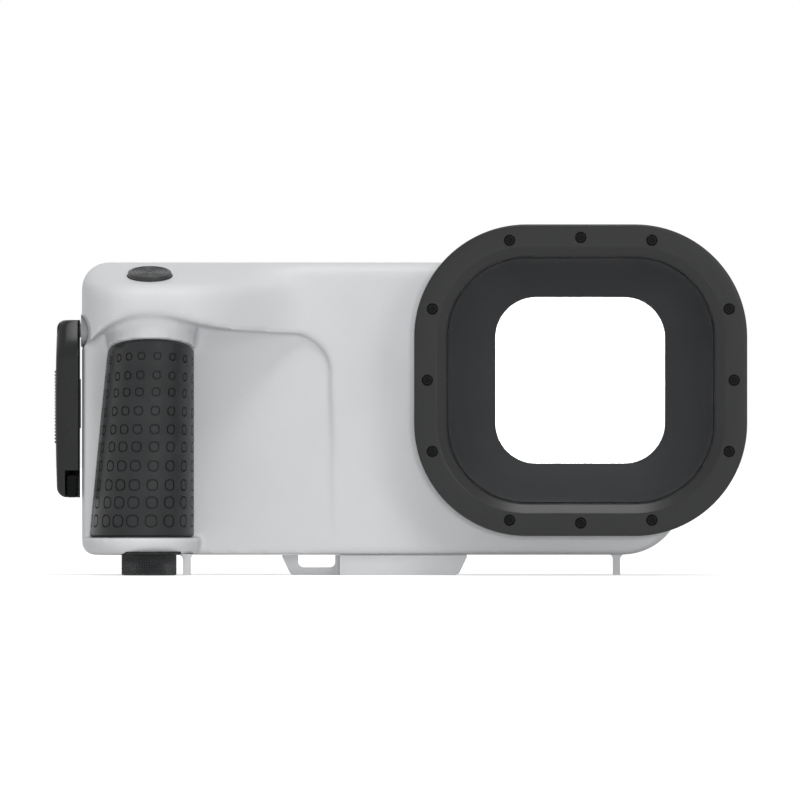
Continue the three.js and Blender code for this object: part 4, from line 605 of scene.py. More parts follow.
def moulded(name, deep, pale, grain_mm, grain_height_mm, rough, wear=0.06, specular=0.5):
    """Moulded plastic: fine eroded grain, slow drift of tone and handling marks in the gloss."""
    drift_mm, drift_low, drift_high = 45, 0.3, 0.7
    made, tree, surface, place = finish(name, Specular_IOR_Level=specular)
    drift = node(tree, "ShaderNodeTexNoise", Vector=place, Scale=1 / (drift_mm * MM), Detail=3.0,
                 Roughness=0.5)
    grain = node(tree, "ShaderNodeTexNoise", Vector=place, Scale=1 / (grain_mm * MM), Detail=2.0,
                 Roughness=0.6)
    tone = node(tree, "ShaderNodeValToRGB", stops=((drift_low, deep), (drift_high, pale)), Fac=drift)
    speck = node(tree, "ShaderNodeMixRGB", {"blend_type": "MULTIPLY"}, Fac=0.05, Color1=tone,
                 Color2=grain.outputs["Color"])
    marks = node(tree, "ShaderNodeMapRange", Value=drift, From_Min=drift_low, From_Max=drift_high,
                 To_Min=rough - wear, To_Max=rough + wear)
    relief = node(tree, "ShaderNodeBump", Strength=0.35, Distance=grain_height_mm * MM, Height=grain)
    wire(surface, Base_Color=speck, Roughness=marks, Normal=relief)
    return made


def dress(piece, material, body, slot, *nodes):
    """Gives a piece its material and its body, and hides the nodes it stands for; its slot is not used."""
    piece.data.materials.clear()
    piece.data.materials.append(material)
    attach(piece, body)
    if nodes:
        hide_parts(*nodes)


# Light grey polycarbonate with a fine spark-eroded grain: a soft satin that hardly mirrors. The
# grain is about 0.2 mm on the mould and drawn at 0.6 mm so that it shows.
polycarbonate = moulded("spark_eroded_polycarbonate", "#cbccce", "#d2d3d5", 0.6, 0.02, 0.46)
smooth(casing)
dress(casing, polycarbonate, "housing", "casing", "front_shell")

# Base rail: the same grey plastic, screwed under the body. Its thin web on the left has the slot
# for a lanyard, and the deep block beside it holds the brass tripod insert.
rail_low, rail_high = box_mm("base_rail")
rail_radius, rail_web_length, slot_radius, slot_bottom, slot_top = 2, 18.6, 1.85, 2.4, 9.5
insert_x, insert_y, insert_radius = rail_high.x - 19.7, (rail_low.y + rail_high.y) / 2, 4.65


def rail_outline():
    return rounded([(rail_low.x + 3, 0, rail_radius), (rail_high.x - 3, 0, rail_radius),
                    (rail_high.x, rail_high.z, 0.3), (rail_low.x, rail_high.z, 0.3)], 8)


def box_form(x, y, z):
    """The rings of a box, from its two places on each axis."""
    return upright([(x[0], z[0]), (x[1], z[0]), (x[1], z[1]), (x[0], z[1])], *y)


def soft_edged(piece, width, sharp_over):
    """Rounds each edge that bends by more than an angle, as the mould or wear leaves it."""
    edges = piece.modifiers.new("soft_edges", "BEVEL")
    edges.width, edges.segments = width * MM, 2
    edges.limit_method, edges.angle_limit = "ANGLE", math.radians(sharp_over)
    settle(piece)
    smooth(piece, sharp_over)


rail = skin("base_rail_moulding", upright(rail_outline(), rail_low.y, rail_high.y))
joined(rail, [skin("rail_step", box_form((rail_low.x - over, rail_low.x + rail_web_length),
                                         (rail_low.y - over, rail_high.y + over), (-over, body_bottom)))],
       "DIFFERENCE")
joined(rail, [skin("rail_web", upright(rail_outline(), panel_y + 9, panel_y + 15))], "UNION")
slot_left, slot_right = rail_low.x + 5.3, rail_low.x + 17.2
lanyard_slot = rounded([(slot_left, slot_bottom, slot_radius), (slot_right, slot_bottom, slot_radius),
                        (slot_right, slot_top, 0.6), (slot_left, slot_top, 0.6)], 10)
joined(rail, [
    skin("lanyard_slot", upright(lanyard_slot, panel_y, split_y)),
    skin("insert_bore", bar(insert_radius, -over, rail_high.z - 0.3, (insert_x, insert_y, 0), 48)),
], "DIFFERENCE")
soft_edged(rail, 0.4, 40)
dress(rail, polycarbonate, "housing", "casing", "base_rail")

# Port frame: black glass-filled nylon, moulded in one piece with its funnel. A flat band takes the
# twelve screws; inside it a bevel and a short step lead down to the slightly hollow funnel.
port_face_y, port_edge = port_low.y, 0.8
band_inset, bevel_inset, bevel_depth = 7.2, 10.3, 1.8
groove_insets, groove_depth = (10.42, 10.8), 4.4
screw_well_radius, screw_well_depth = 1.85, 2.5
port_steps, funnel_steps = 28, 14


def eased(start, end, middle, steps):
    """Points of a soft corner between two (inset, depth) places, bent towards a middle one."""
    return [tuple((1 - t) ** 2 * a + 2 * t * (1 - t) * m + t * t * b for a, m, b in zip(start, middle, end))
            for t in (k / steps for k in range(steps + 1))]


def port_profile():
    """The frame's section from the back of its flange over the band and the bevel to the groove."""
    face = port_face_y
    return (
        [(0, flange_back_y), (0, face + port_edge)]
        + eased((0, face + port_edge), (0.9, face), (0, face), 4)[1:]
        + eased((band_inset - 0.2, face), (band_inset + 0.2, face + 0.12), (band_inset, face), 3)
        + [(mix(band_inset, bevel_inset, k / 4), mix(face, face + bevel_depth, k / 4)) for k in (2, 3)]
        + eased((bevel_inset - 0.35, face + 1.6), (bevel_inset + 0.1, face + 2.1),
                (bevel_inset, face + bevel_depth), 3)
        + [(inset, face + groove_depth) for inset in groove_insets]
    )


port_rings = [at_depth(moved_in(port_corners, inset), y, port_steps) for inset, y in port_profile()]
for k in range(funnel_steps + 1):
    deep = k / funnel_steps
    port_rings.append(at_depth(mixed(funnel_mouth, window_corners, 0.25 * deep + 0.75 * deep ** 2),
                               mix(funnel_mouth_y, funnel_end_y, deep), port_steps))
port_rings += [at_depth(moved_in(window_corners, -funnel_wall), funnel_end_y, port_steps),
               at_depth(funnel_back, flange_back_y, port_steps)]
port = skin("port_frame_moulding", port_rings, looped=True)
well_end_y = port_face_y + screw_well_depth
screw_recess = [(screw_well_radius, port_face_y - over), (screw_well_radius, well_end_y),
                (screw_hole_radius, well_end_y), (screw_hole_radius, flange_back_y + over)]
joined(port, [skin("screw_recesses", *[turned(screw_recess, (x, 0, z), 32, "y") for x, z in screw_places])],
       "DIFFERENCE")
smooth(port, 28)
# Glass-filled nylon comes out of the mould nearly black with a dull, slightly mottled skin. The mould
# of the funnel is etched rougher against glare, which makes its black a little paler. The fibres are
# about 0.3 mm long and drawn at 0.8 mm so that they show.
nylon, tree, surface, place = finish("glass_filled_nylon", Specular_IOR_Level=0.45)
fibres = node(tree, "ShaderNodeTexNoise", Vector=place, Scale=1 / (0.8 * MM), Detail=2.0, Roughness=0.6)
cloud = node(tree, "ShaderNodeTexNoise", Vector=place, Scale=1 / (30 * MM), Detail=3.0)
ways = node(tree, "ShaderNodeSeparateXYZ", Vector=place)
etched = node(tree, "ShaderNodeMapRange", Value=ways.outputs["Y"], From_Min=(funnel_mouth_y - 0.6) * MM,
              From_Max=(funnel_mouth_y + 0.6) * MM)
band_tone = node(tree, "ShaderNodeValToRGB", stops=((0, "#090a0b"), (1, "#101112")), Fac=cloud)
funnel_tone = node(tree, "ShaderNodeValToRGB", stops=((0, "#28292b"), (1, "#2f3032")), Fac=cloud)
tone = node(tree, "ShaderNodeMixRGB", Fac=etched, Color1=band_tone, Color2=funnel_tone)
dull = node(tree, "ShaderNodeMapRange", Value=etched, To_Min=0.36, To_Max=0.62)
relief = node(tree, "ShaderNodeBump", Strength=0.35, Distance=0.025 * MM, Height=fibres)
wire(surface, Base_Color=tone, Roughness=dull, Normal=relief)
dress(port, nylon, "housing", "port_black", "port_frame")

# Port screws: twelve small socket screws of blacked steel, turned with a broken edge and a hexagon
# socket. They are sunk in the band's recesses and clamp the port frame and its gasket to the casing.
screw_profile = [(0, 0), (1.25, 0), (1.5, 0.12), (1.6, 0.4), (1.6, 1.9), (0.9, 1.9), (0.9, 13), (0, 13)]
socket_profile = [(0.98, -1), (0.98, 0.15), (0.85, 0.25), (0.85, 1.1)]
# Blacking leaves steel a deep black that hardly shines, with faint scuffs of a paler black.
black_steel, tree, surface, place = finish("blacked_steel", Roughness=0.4, Specular_IOR_Level=0.15)
scuff = node(tree, "ShaderNodeTexNoise", Vector=place, Scale=1 / (1.2 * MM), Detail=3.0)
wire(surface, Base_Color=node(tree, "ShaderNodeValToRGB", stops=((0, "#060607"), (1, "#101112")), Fac=scuff))
for i, (x, z) in enumerate(screw_places, 1):
    at = (x, box_mm(f"port_screw_{i:02d}")[0].y, z)
    head = skin(f"port_screw_head_{i:02d}", turned(screw_profile, at, 32, "y"))
    joined(head, [skin("socket", turned(socket_profile, at, 6, "y"))], "DIFFERENCE")
    smooth(head, 30)
    dress(head, black_steel, "housing", "black_screw", f"port_screw_{i:02d}")

# Grip sleeve: soft black rubber drawn over the column, with ten rows of sunk rings that grow
# towards the bottom and leave a low pad inside each, so that wet fingers hold.
sleeve_levels, sleeve_edge, sleeve_wall = 24, 0.7, 2.2
ring_radius_low, ring_radius_high, ring_squareness, ring_bow, ring_points = 2.15, 1.25, 2.8, 0.025, 24
groove_section = ((0, 1.2), (0, -0.3), (0.12, -0.5), (0.36, -0.5), (0.48, -0.3), (0.48, 1.2))
row_heights = [17.4, 23.3, 28.9, 35.0, 41.1, 46.7, 52.6, 58.6, 64.0, 70.1]
column_turns = [math.radians(turn) for turn in (9, 26, 47, 64, 81, 98.5, 119.5, 142, 165)]
sleeve_rings = [grip_ring(grip_bottom_z, -sleeve_edge)]
for k in range(sleeve_levels + 1):
    share = k / sleeve_levels
    lift = {0: sleeve_edge, sleeve_levels: -sleeve_edge}.get(k, 0)
    sleeve_rings.append(grip_ring(mix(grip_bottom_z, grip_rim_z, share), 0, arched(share, lift)))
sleeve_rings.append(grip_ring(grip_rim_z, -sleeve_edge, arched(1)))
sleeve = skin("grip_sleeve_rubber", sleeve_rings)
behind = skin("behind_sleeve", box_form((body_left - over, grip_right + 2 * over),
                                        (panel_y - seat_gap, split_y), (body_bottom - over, body_top)))
joined(behind, [finger_pocket(-seat_gap)], "DIFFERENCE")
column_room = skin("column_room", [
    grip_ring(grip_bottom_z, -sleeve_wall, lambda s: grip_bottom_z - over, grip_back_y + over),
    grip_ring(grip_rim_z, -sleeve_wall, lambda s: grip_rim_z + over, grip_back_y + over)])
joined(sleeve, [column_room, behind], "DIFFERENCE")


def grip_skin_point(share, turn):
    x, y, s = grip_point(mix(grip_bottom_z, grip_rim_z, share), turn, 0)
    return Vector((x, y, arched(share)(s)))


def ring_groove(share, turn):
    """The cutter of one ring, a little square, that follows the sleeve's skin."""
    radius = mix(ring_radius_low, ring_radius_high, share)
    here = grip_skin_point(share, turn)
    across = (grip_skin_point(share, turn + 0.02) - grip_skin_point(share, turn - 0.02)).normalized()
    rise = (grip_skin_point(share + 0.01, turn) - grip_skin_point(share - 0.01, turn)).normalized()
    out = across.cross(rise).normalized()
    rise = out.cross(across)
    rings = []
    for k in range(ring_points):
        angle = 2 * math.pi * k / ring_points
        c, s = math.cos(angle), math.sin(angle)
        square = (abs(c) ** ring_squareness + abs(s) ** ring_squareness) ** (-1 / ring_squareness)
        ring = []
        for inset, height in groove_section:
            flat = (radius - inset) * square
            proud = height - ring_bow * (flat * c) ** 2
            ring.append(tuple(here + across * (flat * c) + rise * (flat * s) + out * proud))
        rings.append(ring)
    return rings


row_shares = [(z - grip_bottom_z) / (grip_rim_z - grip_bottom_z) for z in row_heights]
joined(sleeve, [skin(f"ring_row_{i}", *[ring_groove(share, turn) for turn in column_turns], looped=True)
                for i, share in enumerate(row_shares)], "DIFFERENCE")
smooth(sleeve, 40)
# Moulded rubber: matt, with a slow bloom of paler black and fine pores. The pores are about 0.1 mm
# wide and drawn at 0.7 mm so that they show.
rubber, tree, surface, place = finish("moulded_rubber", Roughness=0.4, Specular_IOR_Level=0.25)
bloom = node(tree, "ShaderNodeTexNoise", Vector=place, Scale=1 / (9 * MM), Detail=4.0)
pores = node(tree, "ShaderNodeTexNoise", Vector=place, Scale=1 / (0.7 * MM), Detail=2.0)
tone = node(tree, "ShaderNodeValToRGB", stops=((0.35, "#242526"), (0.7, "#2c2d2e")), Fac=bloom)
relief = node(tree, "ShaderNodeBump", Strength=0.4, Distance=0.03 * MM, Height=pores)
wire(surface, Base_Color=tone, Normal=relief)
dress(sleeve, rubber, "housing", "grip_rubber", "grip_sleeve")

# Shutter button: a black acetal button on the shoulder's slope, turned with shallow rings round a
# dished middle so that a finger in a glove finds it. It rides in its own well.
button_ridges, ridge_radius, ridge_pitch, ridge_low, ridge_high = 4, 5.5, 1.15, 1.18, 1.34
button_profile = [(0, -17), (2, -17), (2, -1.7), (7, -1.7), (7, 0.9), (6.85, 1.25), (6.5, 1.45), (5.9, 1.5)]
for k in range(button_ridges):
    ridge = ridge_radius - ridge_pitch * k
    button_profile += [(ridge, ridge_low), (ridge - 0.45, ridge_low),
                       (ridge - 0.6, ridge_high), (ridge - 0.95, ridge_high)]
button_profile += [(0.9, 1.2), (0, 1.2)]
button = skin("shutter_button_acetal", on_slope(turned(button_profile, (0, 0, 0), 72)))
smooth(button, 35)
# Acetal: dense black with a low waxy gloss and faint turning marks. The marks are about 0.1 mm apart
# and drawn at 0.5 mm so that they show.
acetal = moulded("turned_acetal", "#191a1c", "#222325", 0.5, 0.012, 0.36, 0.05)
dress(button, acetal, "shutter", "black_plastic", "shutter_button")

# Latch lever: a thick bar of black nylon that hangs from its hub on the left, with fine ribs on
# its outer edge, a bevelled shoulder at the top and a soft pad towards the casing.
lever_low, lever_high = box_mm("latch_lever")
lever_outer, lever_inner = lever_low.x, lever_high.x - 0.3
lever_bottom, lever_top = lever_low.z, lever_high.z
lever_width_low, lever_width_high, lever_bow, lever_core_in = 12, 14, 0.5, 0.35
lever_edge, facet_edge, facet_height, lean_round, lean_curve, lean_slope = 1.6, 3.2, 12.4, 7, 0.04, 0.56
lever_foot_radius, lever_head_radius, lever_levels = 3.2, 2.6, 40
rib_count, rib_low, rib_run, rib_half, rib_tip = 22, 17.8, 22.4, 0.36, 0.12
claw_gap, lock_gap = 0.15, 0.35


def lever_ring(z, outer_inset):
    """A section of the lever, whose front leans back towards the top and rounds off outwards."""
    share = (z - lever_bottom) / (lever_top - lever_bottom)
    half = mix(lever_width_low, lever_width_high, share) / 2
    bow = lever_bow * (1 - 4 * share * (1 - share))
    outer = lever_outer + lever_core_in + bow + outer_inset
    up = max(z - lever_top + facet_height, 0)
    lean = lean_curve * min(up, lean_round) ** 2 + lean_slope * max(up - lean_round, 0)
    front_edge = mix(lever_edge, facet_edge, min(up / 6, 1))
    corners = [(outer, hub_y - half + lean, front_edge), (lever_inner, hub_y - half + lean, 0.8),
               (lever_inner, hub_y + half, 0.8), (outer, hub_y + half, lever_edge)]
    return [(x, y, z) for x, y in rounded(corners, 10)]


lever_rings = [lever_ring(lever_bottom + rise, inset) for inset, rise in quarter_round(lever_foot_radius, 6)]
straight = (lever_bottom + lever_foot_radius, lever_top - lever_head_radius)
lever_rings += [lever_ring(mix(*straight, k / lever_levels), 0) for k in range(1, lever_levels)]
lever_rings += [lever_ring(lever_top - drop, inset) for drop, inset in quarter_round(lever_head_radius, 6)]
lever = skin("latch_lever_nylon", lever_rings)
ribs = []
for k in range(rib_count):
    z = lever_bottom + rib_low + rib_run * k / (rib_count - 1)
    tip, root = lever_outer + 0.02, lever_outer + lever_edge
    section = [(tip + 0.3, z - rib_half), (tip, z - rib_tip), (tip, z + rib_tip), (tip + 0.3, z + rib_half),
               (root, z + rib_half), (root, z - rib_half)]
    ribs.append(upright(section, hub_y - 4.6, hub_y + 4.6))
lever_pad = skin("lever_pad", box_form((lever_inner - 1.6, lever_inner + 0.3), (hub_y - 2.5, hub_y + 2.5),
                                       (lever_bottom + 22.2, lever_bottom + 37.9)))
joined(lever, [skin("lever_ribs", *ribs), lever_pad], "UNION")
claw_low, claw_high = box_mm("latch_claw")
claw_slot = [(claw_low.y - claw_gap, claw_low.z - claw_gap), (claw_high.y + over, claw_low.z - claw_gap),
             (claw_high.y + over, claw_low.z + 5.75), (claw_low.y - claw_gap, claw_low.z + 5.75)]
pivot_bore = [(2.5, lever_outer - over), (2.5, lever_inner - 4.8), (2.25, lever_inner - 4.8),
              (2.25, lever_inner + over)]
joined(lever, [
    skin("claw_slot", [[(x, y, z) for y, z in claw_slot]
                       for x in (claw_low.x - claw_gap, claw_high.x + claw_gap)]),
    skin("pivot_bore", turned(pivot_bore, (0, hub_y, hub_z), 48, "x")),
], "DIFFERENCE")
lock_low, lock_high = box_mm("lock_button")
joined(lever, [skin("lock_room", box_form((lock_low.x - lock_gap, lever_inner + over),
                                          (hub_y - 14, lock_high.y + lock_gap),
                                          (lever_bottom - over, lock_high.z + 1.5)))], "DIFFERENCE")
soft_edged(lever, 0.25, 35)
# Moulded nylon: deep black with a low, even gloss, in which the long edges draw thin pale lines. The
# grain is about 0.2 mm on the mould and drawn at 0.7 mm so that it shows.
lever_nylon = moulded("moulded_nylon", "#0e0f10", "#141516", 0.7, 0.008, 0.27, 0.03, 0.32)
dress(lever, lever_nylon, "latch", "black_plastic", "latch_lever")

# Lock button: a slider of glossy black polycarbonate with four thumb grooves in front. It sits in
# the lever's lower end, on a spring, and is pushed up to free the lever.
lock_middle_x, lock_middle_y, _ = middle_mm("lock_button")
lock_outline = rounded([(lock_low.x, lock_low.y, 1.1), (lock_high.x, lock_low.y, 1.1),
                        (lock_high.x, lock_high.y, 0.4), (lock_low.x, lock_high.y, 0.4)], 6)
lock_rings = []
for inset, z in ((0.7, lock_low.z), (0.2, lock_low.z + 0.2), (0, lock_low.z + 0.7), (0, lock_high.z - 0.7),
                 (0.2, lock_high.z - 0.2), (0.7, lock_high.z)):
    lock_rings.append([(x + inset * (1 if x < lock_middle_x else -1),
                        y + inset * (1 if y < lock_middle_y else -1), z) for x, y in lock_outline])
lock = skin("lock_button_gloss", lock_rings)
groove_count, groove_pitch, groove_half, groove_cut = 4, 1.5, 0.3, 0.35
grooves = []
for k in range(groove_count):
    z = lock_low.z + 2 + groove_pitch * k
    grooves.append(box_form((lock_low.x - 1, lock_high.x + 1), (lock_low.y - 1, lock_low.y + groove_cut),
                            (z - groove_half, z + groove_half)))
joined(lock, [skin("thumb_grooves", *grooves)], "DIFFERENCE")
smooth(lock, 35)
# Gloss polycarbonate comes from a polished mould: the blackest piece, with a tight, faint mirror that
# breaks at the grooves and wavers over about 2 mm.
gloss_black = moulded("gloss_polycarbonate", "#08090a", "#0d0e0f", 2.0, 0.004, 0.18, 0.04, 0.08)
dress(lock, gloss_black, "lock", "gloss_black", "lock_button")

# Vent cap: a black acetal knob under the grip, turned with a diamond knurl between two plain
# collars. It screws a stem with an O-ring into the duct of the column's hollow.
cap_low, cap_high = box_mm("vent_cap")
cap_radius, cap_height, stem_radius = (cap_high.x - cap_low.x) / 2, collar_low.z - 0.12, 2.4
knurl_pitch, knurl_depth, knurl_flat, knurl_levels, points_per_tooth = 1.15, 0.42, 0.3, 40, 8
dish_outer, dish_inner, dish_depth = 7.15, 4.85, 1.7
teeth = round(2 * math.pi * cap_radius / knurl_pitch)


def knurl_ring(z):
    """A ring of the knurl, whose valleys run both ways round the cap and leave diamonds."""
    ring = []
    for i in range(teeth * points_per_tooth):
        turn = i / (teeth * points_per_tooth)
        one = (turn * teeth + z / knurl_pitch) % 1
        two = (turn * teeth - z / knurl_pitch) % 1
        valley = 1 - min(abs(one - 0.5), abs(two - 0.5)) * 2
        reach = cap_radius - knurl_depth * max(0.0, (valley - knurl_flat) / (1 - knurl_flat))
        ring.append((vent_x + reach * math.cos(2 * math.pi * turn),
                     vent_y + reach * math.sin(2 * math.pi * turn), z))
    return ring


def plain_rings(*profile):
    return turned(profile, (vent_x, vent_y, 0), teeth * points_per_tooth)


cap_rings = plain_rings((cap_radius - 0.6, 0), (cap_radius - 0.25, 0.08), (cap_radius - 0.2, 0.25))
cap_rings += [knurl_ring(0.4 + (cap_height - 0.6) * k / knurl_levels) for k in range(knurl_levels + 1)]
cap_rings += plain_rings(
    (cap_radius - 0.2, cap_height - 0.08), (cap_radius - 0.35, cap_height), (dish_outer, cap_height),
    (dish_outer, cap_height - dish_depth), (dish_inner, cap_height - dish_depth), (dish_inner, cap_height),
    (stem_radius, cap_height), (stem_radius, cap_high.z))
cap = skin("vent_cap_acetal", cap_rings)
smooth(cap, 30)
dress(cap, acetal, "vent_cap", "black_plastic", "vent_cap")

# Door frame: the same grey polycarbonate as the casing, with a soft outer edge and a bevel round the
# clear window. Three keys sit in wells in its left strip, and its barrel turns on the hinge pin.
door_depth, door_edge, plate_rim = 12.7, 3.5, 2.15
door_front_y, door_back_y = door_low.y, door_low.y + door_depth
plate_y = box_mm("rear_window")[1].y + seat_gap
view_corners = rectangle(body_left + 27.3, body_right - side_wall,
                         body_bottom + side_wall, body_top - side_wall, (6, 14, 14, 6))
key_x, key_pitch, key_drop = body_left + 13.6, 19, 1.25
key_places = [(key_x, (body_bottom + body_top) / 2 - key_drop + key_pitch * step) for step in (1, 0, -1)]
door_rings = [at_depth(body_corners, door_front_y)]
for drop, inset in quarter_round(door_edge, 8):
    door_rings.append(at_depth(moved_in(body_corners, inset), door_back_y - drop))
door = skin("door_frame_moulding", door_rings)
opening = skin("view_opening", [at_depth(moved_in(view_corners, -outward), y) for outward, y in (
    (0, door_front_y - over), (0, plate_y), (0.5, plate_y + 4.5), (1.0, door_back_y - 0.5),
    (1.7, door_back_y + 0.3))])
plate_room = skin("plate_room", [at_depth(moved_in(view_corners, -plate_rim), y)
                                 for y in (door_front_y - over, plate_y)])
key_bay = skin("key_bay", box_form((body_left + side_wall, body_left + 23.3),
                                   (door_front_y - over, door_back_y - 4),
                                   (body_bottom + side_wall + 6, body_top - side_wall - 6)))
joined(door, [opening, plate_room, key_bay], "DIFFERENCE")
barrel_low, barrel_high = body_bottom + 27.9, body_top - 28.4
web = [(body_right - 2, door_front_y + 0.3), (hinge_x - 1.9, hinge_y - 1.25), (hinge_x, hinge_y),
       (hinge_x, hinge_y + 3.2), (body_right - 2, door_front_y + 8)]
joined(door, [
    skin("door_barrel", bar(barrel_radius, barrel_low, barrel_high, (hinge_x, hinge_y, 0), 48)),
    skin("door_web", [[(x, y, z) for x, y in web] for z in (barrel_low, barrel_high)]),
    skin("key_bosses", *[bar(5, door_back_y - 13.5, door_back_y - 2, (x, 0, z), 40, "y")
                         for x, z in key_places]),
], "UNION")
_, catch_y, catch_z = middle_mm("catch_pin")
key_well = [(6.4, 3), (6.4, 0.3), (6.0, -0.4), (6.0, -2.8), (3.9, -2.8), (3.9, -8), (1.95, -8), (1.95, -16)]
joined(door, [
    hinge_bore(),
    round_x("catch_bore", 2.08, body_left - over, body_left + 4.7, catch_y, catch_z, 32),
    skin("key_wells", *[turned(key_well, (x, door_back_y, z), 56, "y") for x, z in key_places]),
], "DIFFERENCE")
smooth(door, 30)
dress(door, polycarbonate, "door", "casing", "door_frame")

# Keys: three black acetal caps behind, turned with a dished face, a rounded rim and a stem. Each
# rides in its well in the door on a spring and is held from inside by a clip.
key_skirt_depth, key_stem_radius, key_radius = 1.3, 1.8, 5.6
key_face = [(5.5, 0.45), (5.2, 0.12), (4.8, 0), (4.4, 0.05), (3.6, 0.35), (2.4, 0.6), (1.2, 0.72), (0, 0.75)]
for i, (x, z) in enumerate(key_places, 1):
    stem_end, top = (corner.y for corner in box_mm(f"key_cap_{i}"))
    skirt = door_back_y - key_skirt_depth
    profile = [(0, stem_end), (key_stem_radius, stem_end), (key_stem_radius, skirt), (key_radius, skirt),
               (key_radius, top - 0.9), *[(radius, top - drop) for radius, drop in key_face]]
    key = skin(f"key_cap_acetal_{i}", turned(profile, (x, 0, z), 56, "y"))
    smooth(key, 40)
    dress(key, acetal, f"key_{i}", "black_plastic", f"key_cap_{i}")


# Steel pins, clips, claw and pivot screw, and the tripod insert of brass: drawn or turned from bar,
# then pressed, screwed or sprung into their seats. Their solids already have the right form and keep
# it, as do the solids of the later sections that no new piece stands for.
def finish_node(names, material):
    for name in names:
        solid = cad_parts[name]
        solid.data.materials.clear()
        solid.data.materials.append(material)


def drawn_metal(name, deep, pale, rough, streak_mm):
    """Drawn or turned metal: fine streaks along the draw that spread the highlight."""
    spread = 0.08
    made, tree, surface, place = finish(name, Metallic=1.0)
    stretch = node(tree, "ShaderNodeMapping", Vector=place, Scale=(1, 1, 0.15))
    streaks = node(tree, "ShaderNodeTexNoise", Vector=stretch, Scale=1 / (streak_mm * MM), Detail=3.0)
    tone = node(tree, "ShaderNodeValToRGB", stops=((0, deep), (1, pale)), Fac=streaks)
    gloss = node(tree, "ShaderNodeMapRange", Value=streaks, To_Min=rough - spread, To_Max=rough + spread)
    relief = node(tree, "ShaderNodeBump", Strength=0.2, Distance=0.01 * MM, Height=streaks)
    wire(surface, Base_Color=tone, Roughness=gloss, Normal=relief)
    return made


# Drawn and pickled stainless steel: a cool grey with a soft, streaky shine. Turned brass: the same in
# a dull yellow. Real streaks are under 0.1 mm and drawn at 0.5 to 0.6 mm so that they show.
stainless = drawn_metal("drawn_stainless_steel", "#a3a5a8", "#c4c6c9", 0.32, 0.6)
brass = drawn_metal("turned_brass", "#a5823f", "#c29c58", 0.3, 0.5)
finish_node(["latch_claw", "latch_pivot_screw", "catch_pin", "hinge_pin", "shutter_clip",
             *[f"key_clip_{i}" for i in (1, 2, 3)]], stainless)
finish_node(["tripod_insert"], brass)

# Springs: coils of round stainless wire with closed ends, one behind each button and key. The lock's
# is blacked, since it shows above its button, and the jaw's is a long one that pulls.
coil_points, wire_points, closed_pitch = 18, 8, 2.2


def coil(radius, wire_radius, turns, length, at, axis="z"):
    """The rings of a coil spring that starts at a point and runs along an axis."""
    rings = []
    steps = round(coil_points * turns)
    for i in range(steps + 1):
        turn = turns * i / steps
        idle = min(turn, 1) + max(turn - turns + 1, 0)
        climb = min(max((turn - 1) / (turns - 2), 0), 1)
        height = wire_radius * (1 + closed_pitch * idle) + (length - 6.4 * wire_radius) * climb
        c, s = math.cos(2 * math.pi * turn), math.sin(2 * math.pi * turn)
        ring = []
        for k in range(wire_points):
            reach = radius + wire_radius * math.cos(math.pi * k / 4)
            rise = height + wire_radius * math.sin(math.pi * k / 4)
            offset = {"y": (reach * c, rise, reach * s), "z": (reach * c, reach * s, rise)}[axis]
            ring.append(tuple(a + b for a, b in zip(at, offset)))
        rings.append(ring)
    return rings


def set_spring(node_name, rings, material, still, moving, start, end):
    """A spring's wire from its rings in millimetres, in its material, in place of its solid; still, moving,
    start and end are not used.
    """
    piece = skin(f"{node_name}_wire", rings)
    smooth(piece, 60)
    piece.data.materials.append(material)
    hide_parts(node_name)
    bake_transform(piece)


button_coil_radius, button_wire, button_turns = 3.05, 0.4, 5.5
shutter_seat, shutter_coil_length = -7.85, 6.0
shutter_coil = coil(button_coil_radius, button_wire, button_turns, shutter_coil_length, (0, 0, shutter_seat))
shutter_ends = on_slope([[(0, 0, shutter_seat), (0, 0, shutter_seat + shutter_coil_length)]])[0]
set_spring("shutter_spring", on_slope(shutter_coil), stainless, "housing", "shutter", *shutter_ends)
for i, (x, z) in enumerate(key_places, 1):
    low, high = box_mm(f"key_spring_{i}")
    key_coil = coil(button_coil_radius, button_wire, button_turns, high.y - low.y, (x, low.y, z), "y")
    set_spring(f"key_spring_{i}", key_coil, stainless, "door", f"key_{i}", (x, low.y, z), (x, high.y, z))
for name, radius, wire_radius, turns, material, still, moving in (
        ("lock_spring", 0.95, 0.2, 10, black_steel, "latch", "lock"),
        ("jaw_spring", 1.1, 0.25, 26, stainless, "housing", "jaw")):
    low, high = box_mm(name)
    x, y, _ = middle_mm(name)
    ends = [(x, y, high.z), (x, y, low.z)] if name == "lock_spring" else [(x, y, low.z), (x, y, high.z)]
    rings = coil(radius, wire_radius, turns, high.z - low.z, (x, y, low.z))
    set_spring(name, rings, material, still, moving, *ends)

# Inner mouldings: the phone's tray and jaw, the battery's holder and the switch of black ABS, the
# vent's collar of the lever's nylon, and the lever's hub, a bush of grey acetal pressed in its well.
inner_grain = 0.6
finish_node(["vent_collar"], lever_nylon)
# Satin ABS is a plain dark grey with an even, quiet gloss, and acetal a waxy mid grey, faintly
# mottled. The grain of both is about 0.2 mm wide and drawn at 0.6 mm so that it shows.
inner_plastic = moulded("satin_abs", "#26272a", "#2f3032", inner_grain, 0.006, 0.5)
hub_acetal = moulded("grey_acetal_bush", "#949598", "#9fa0a3", inner_grain, 0.015, 0.4)
finish_node(["phone_tray", "phone_jaw", "battery_holder", "shutter_switch"], inner_plastic)
finish_node(["latch_hub"], hub_acetal)

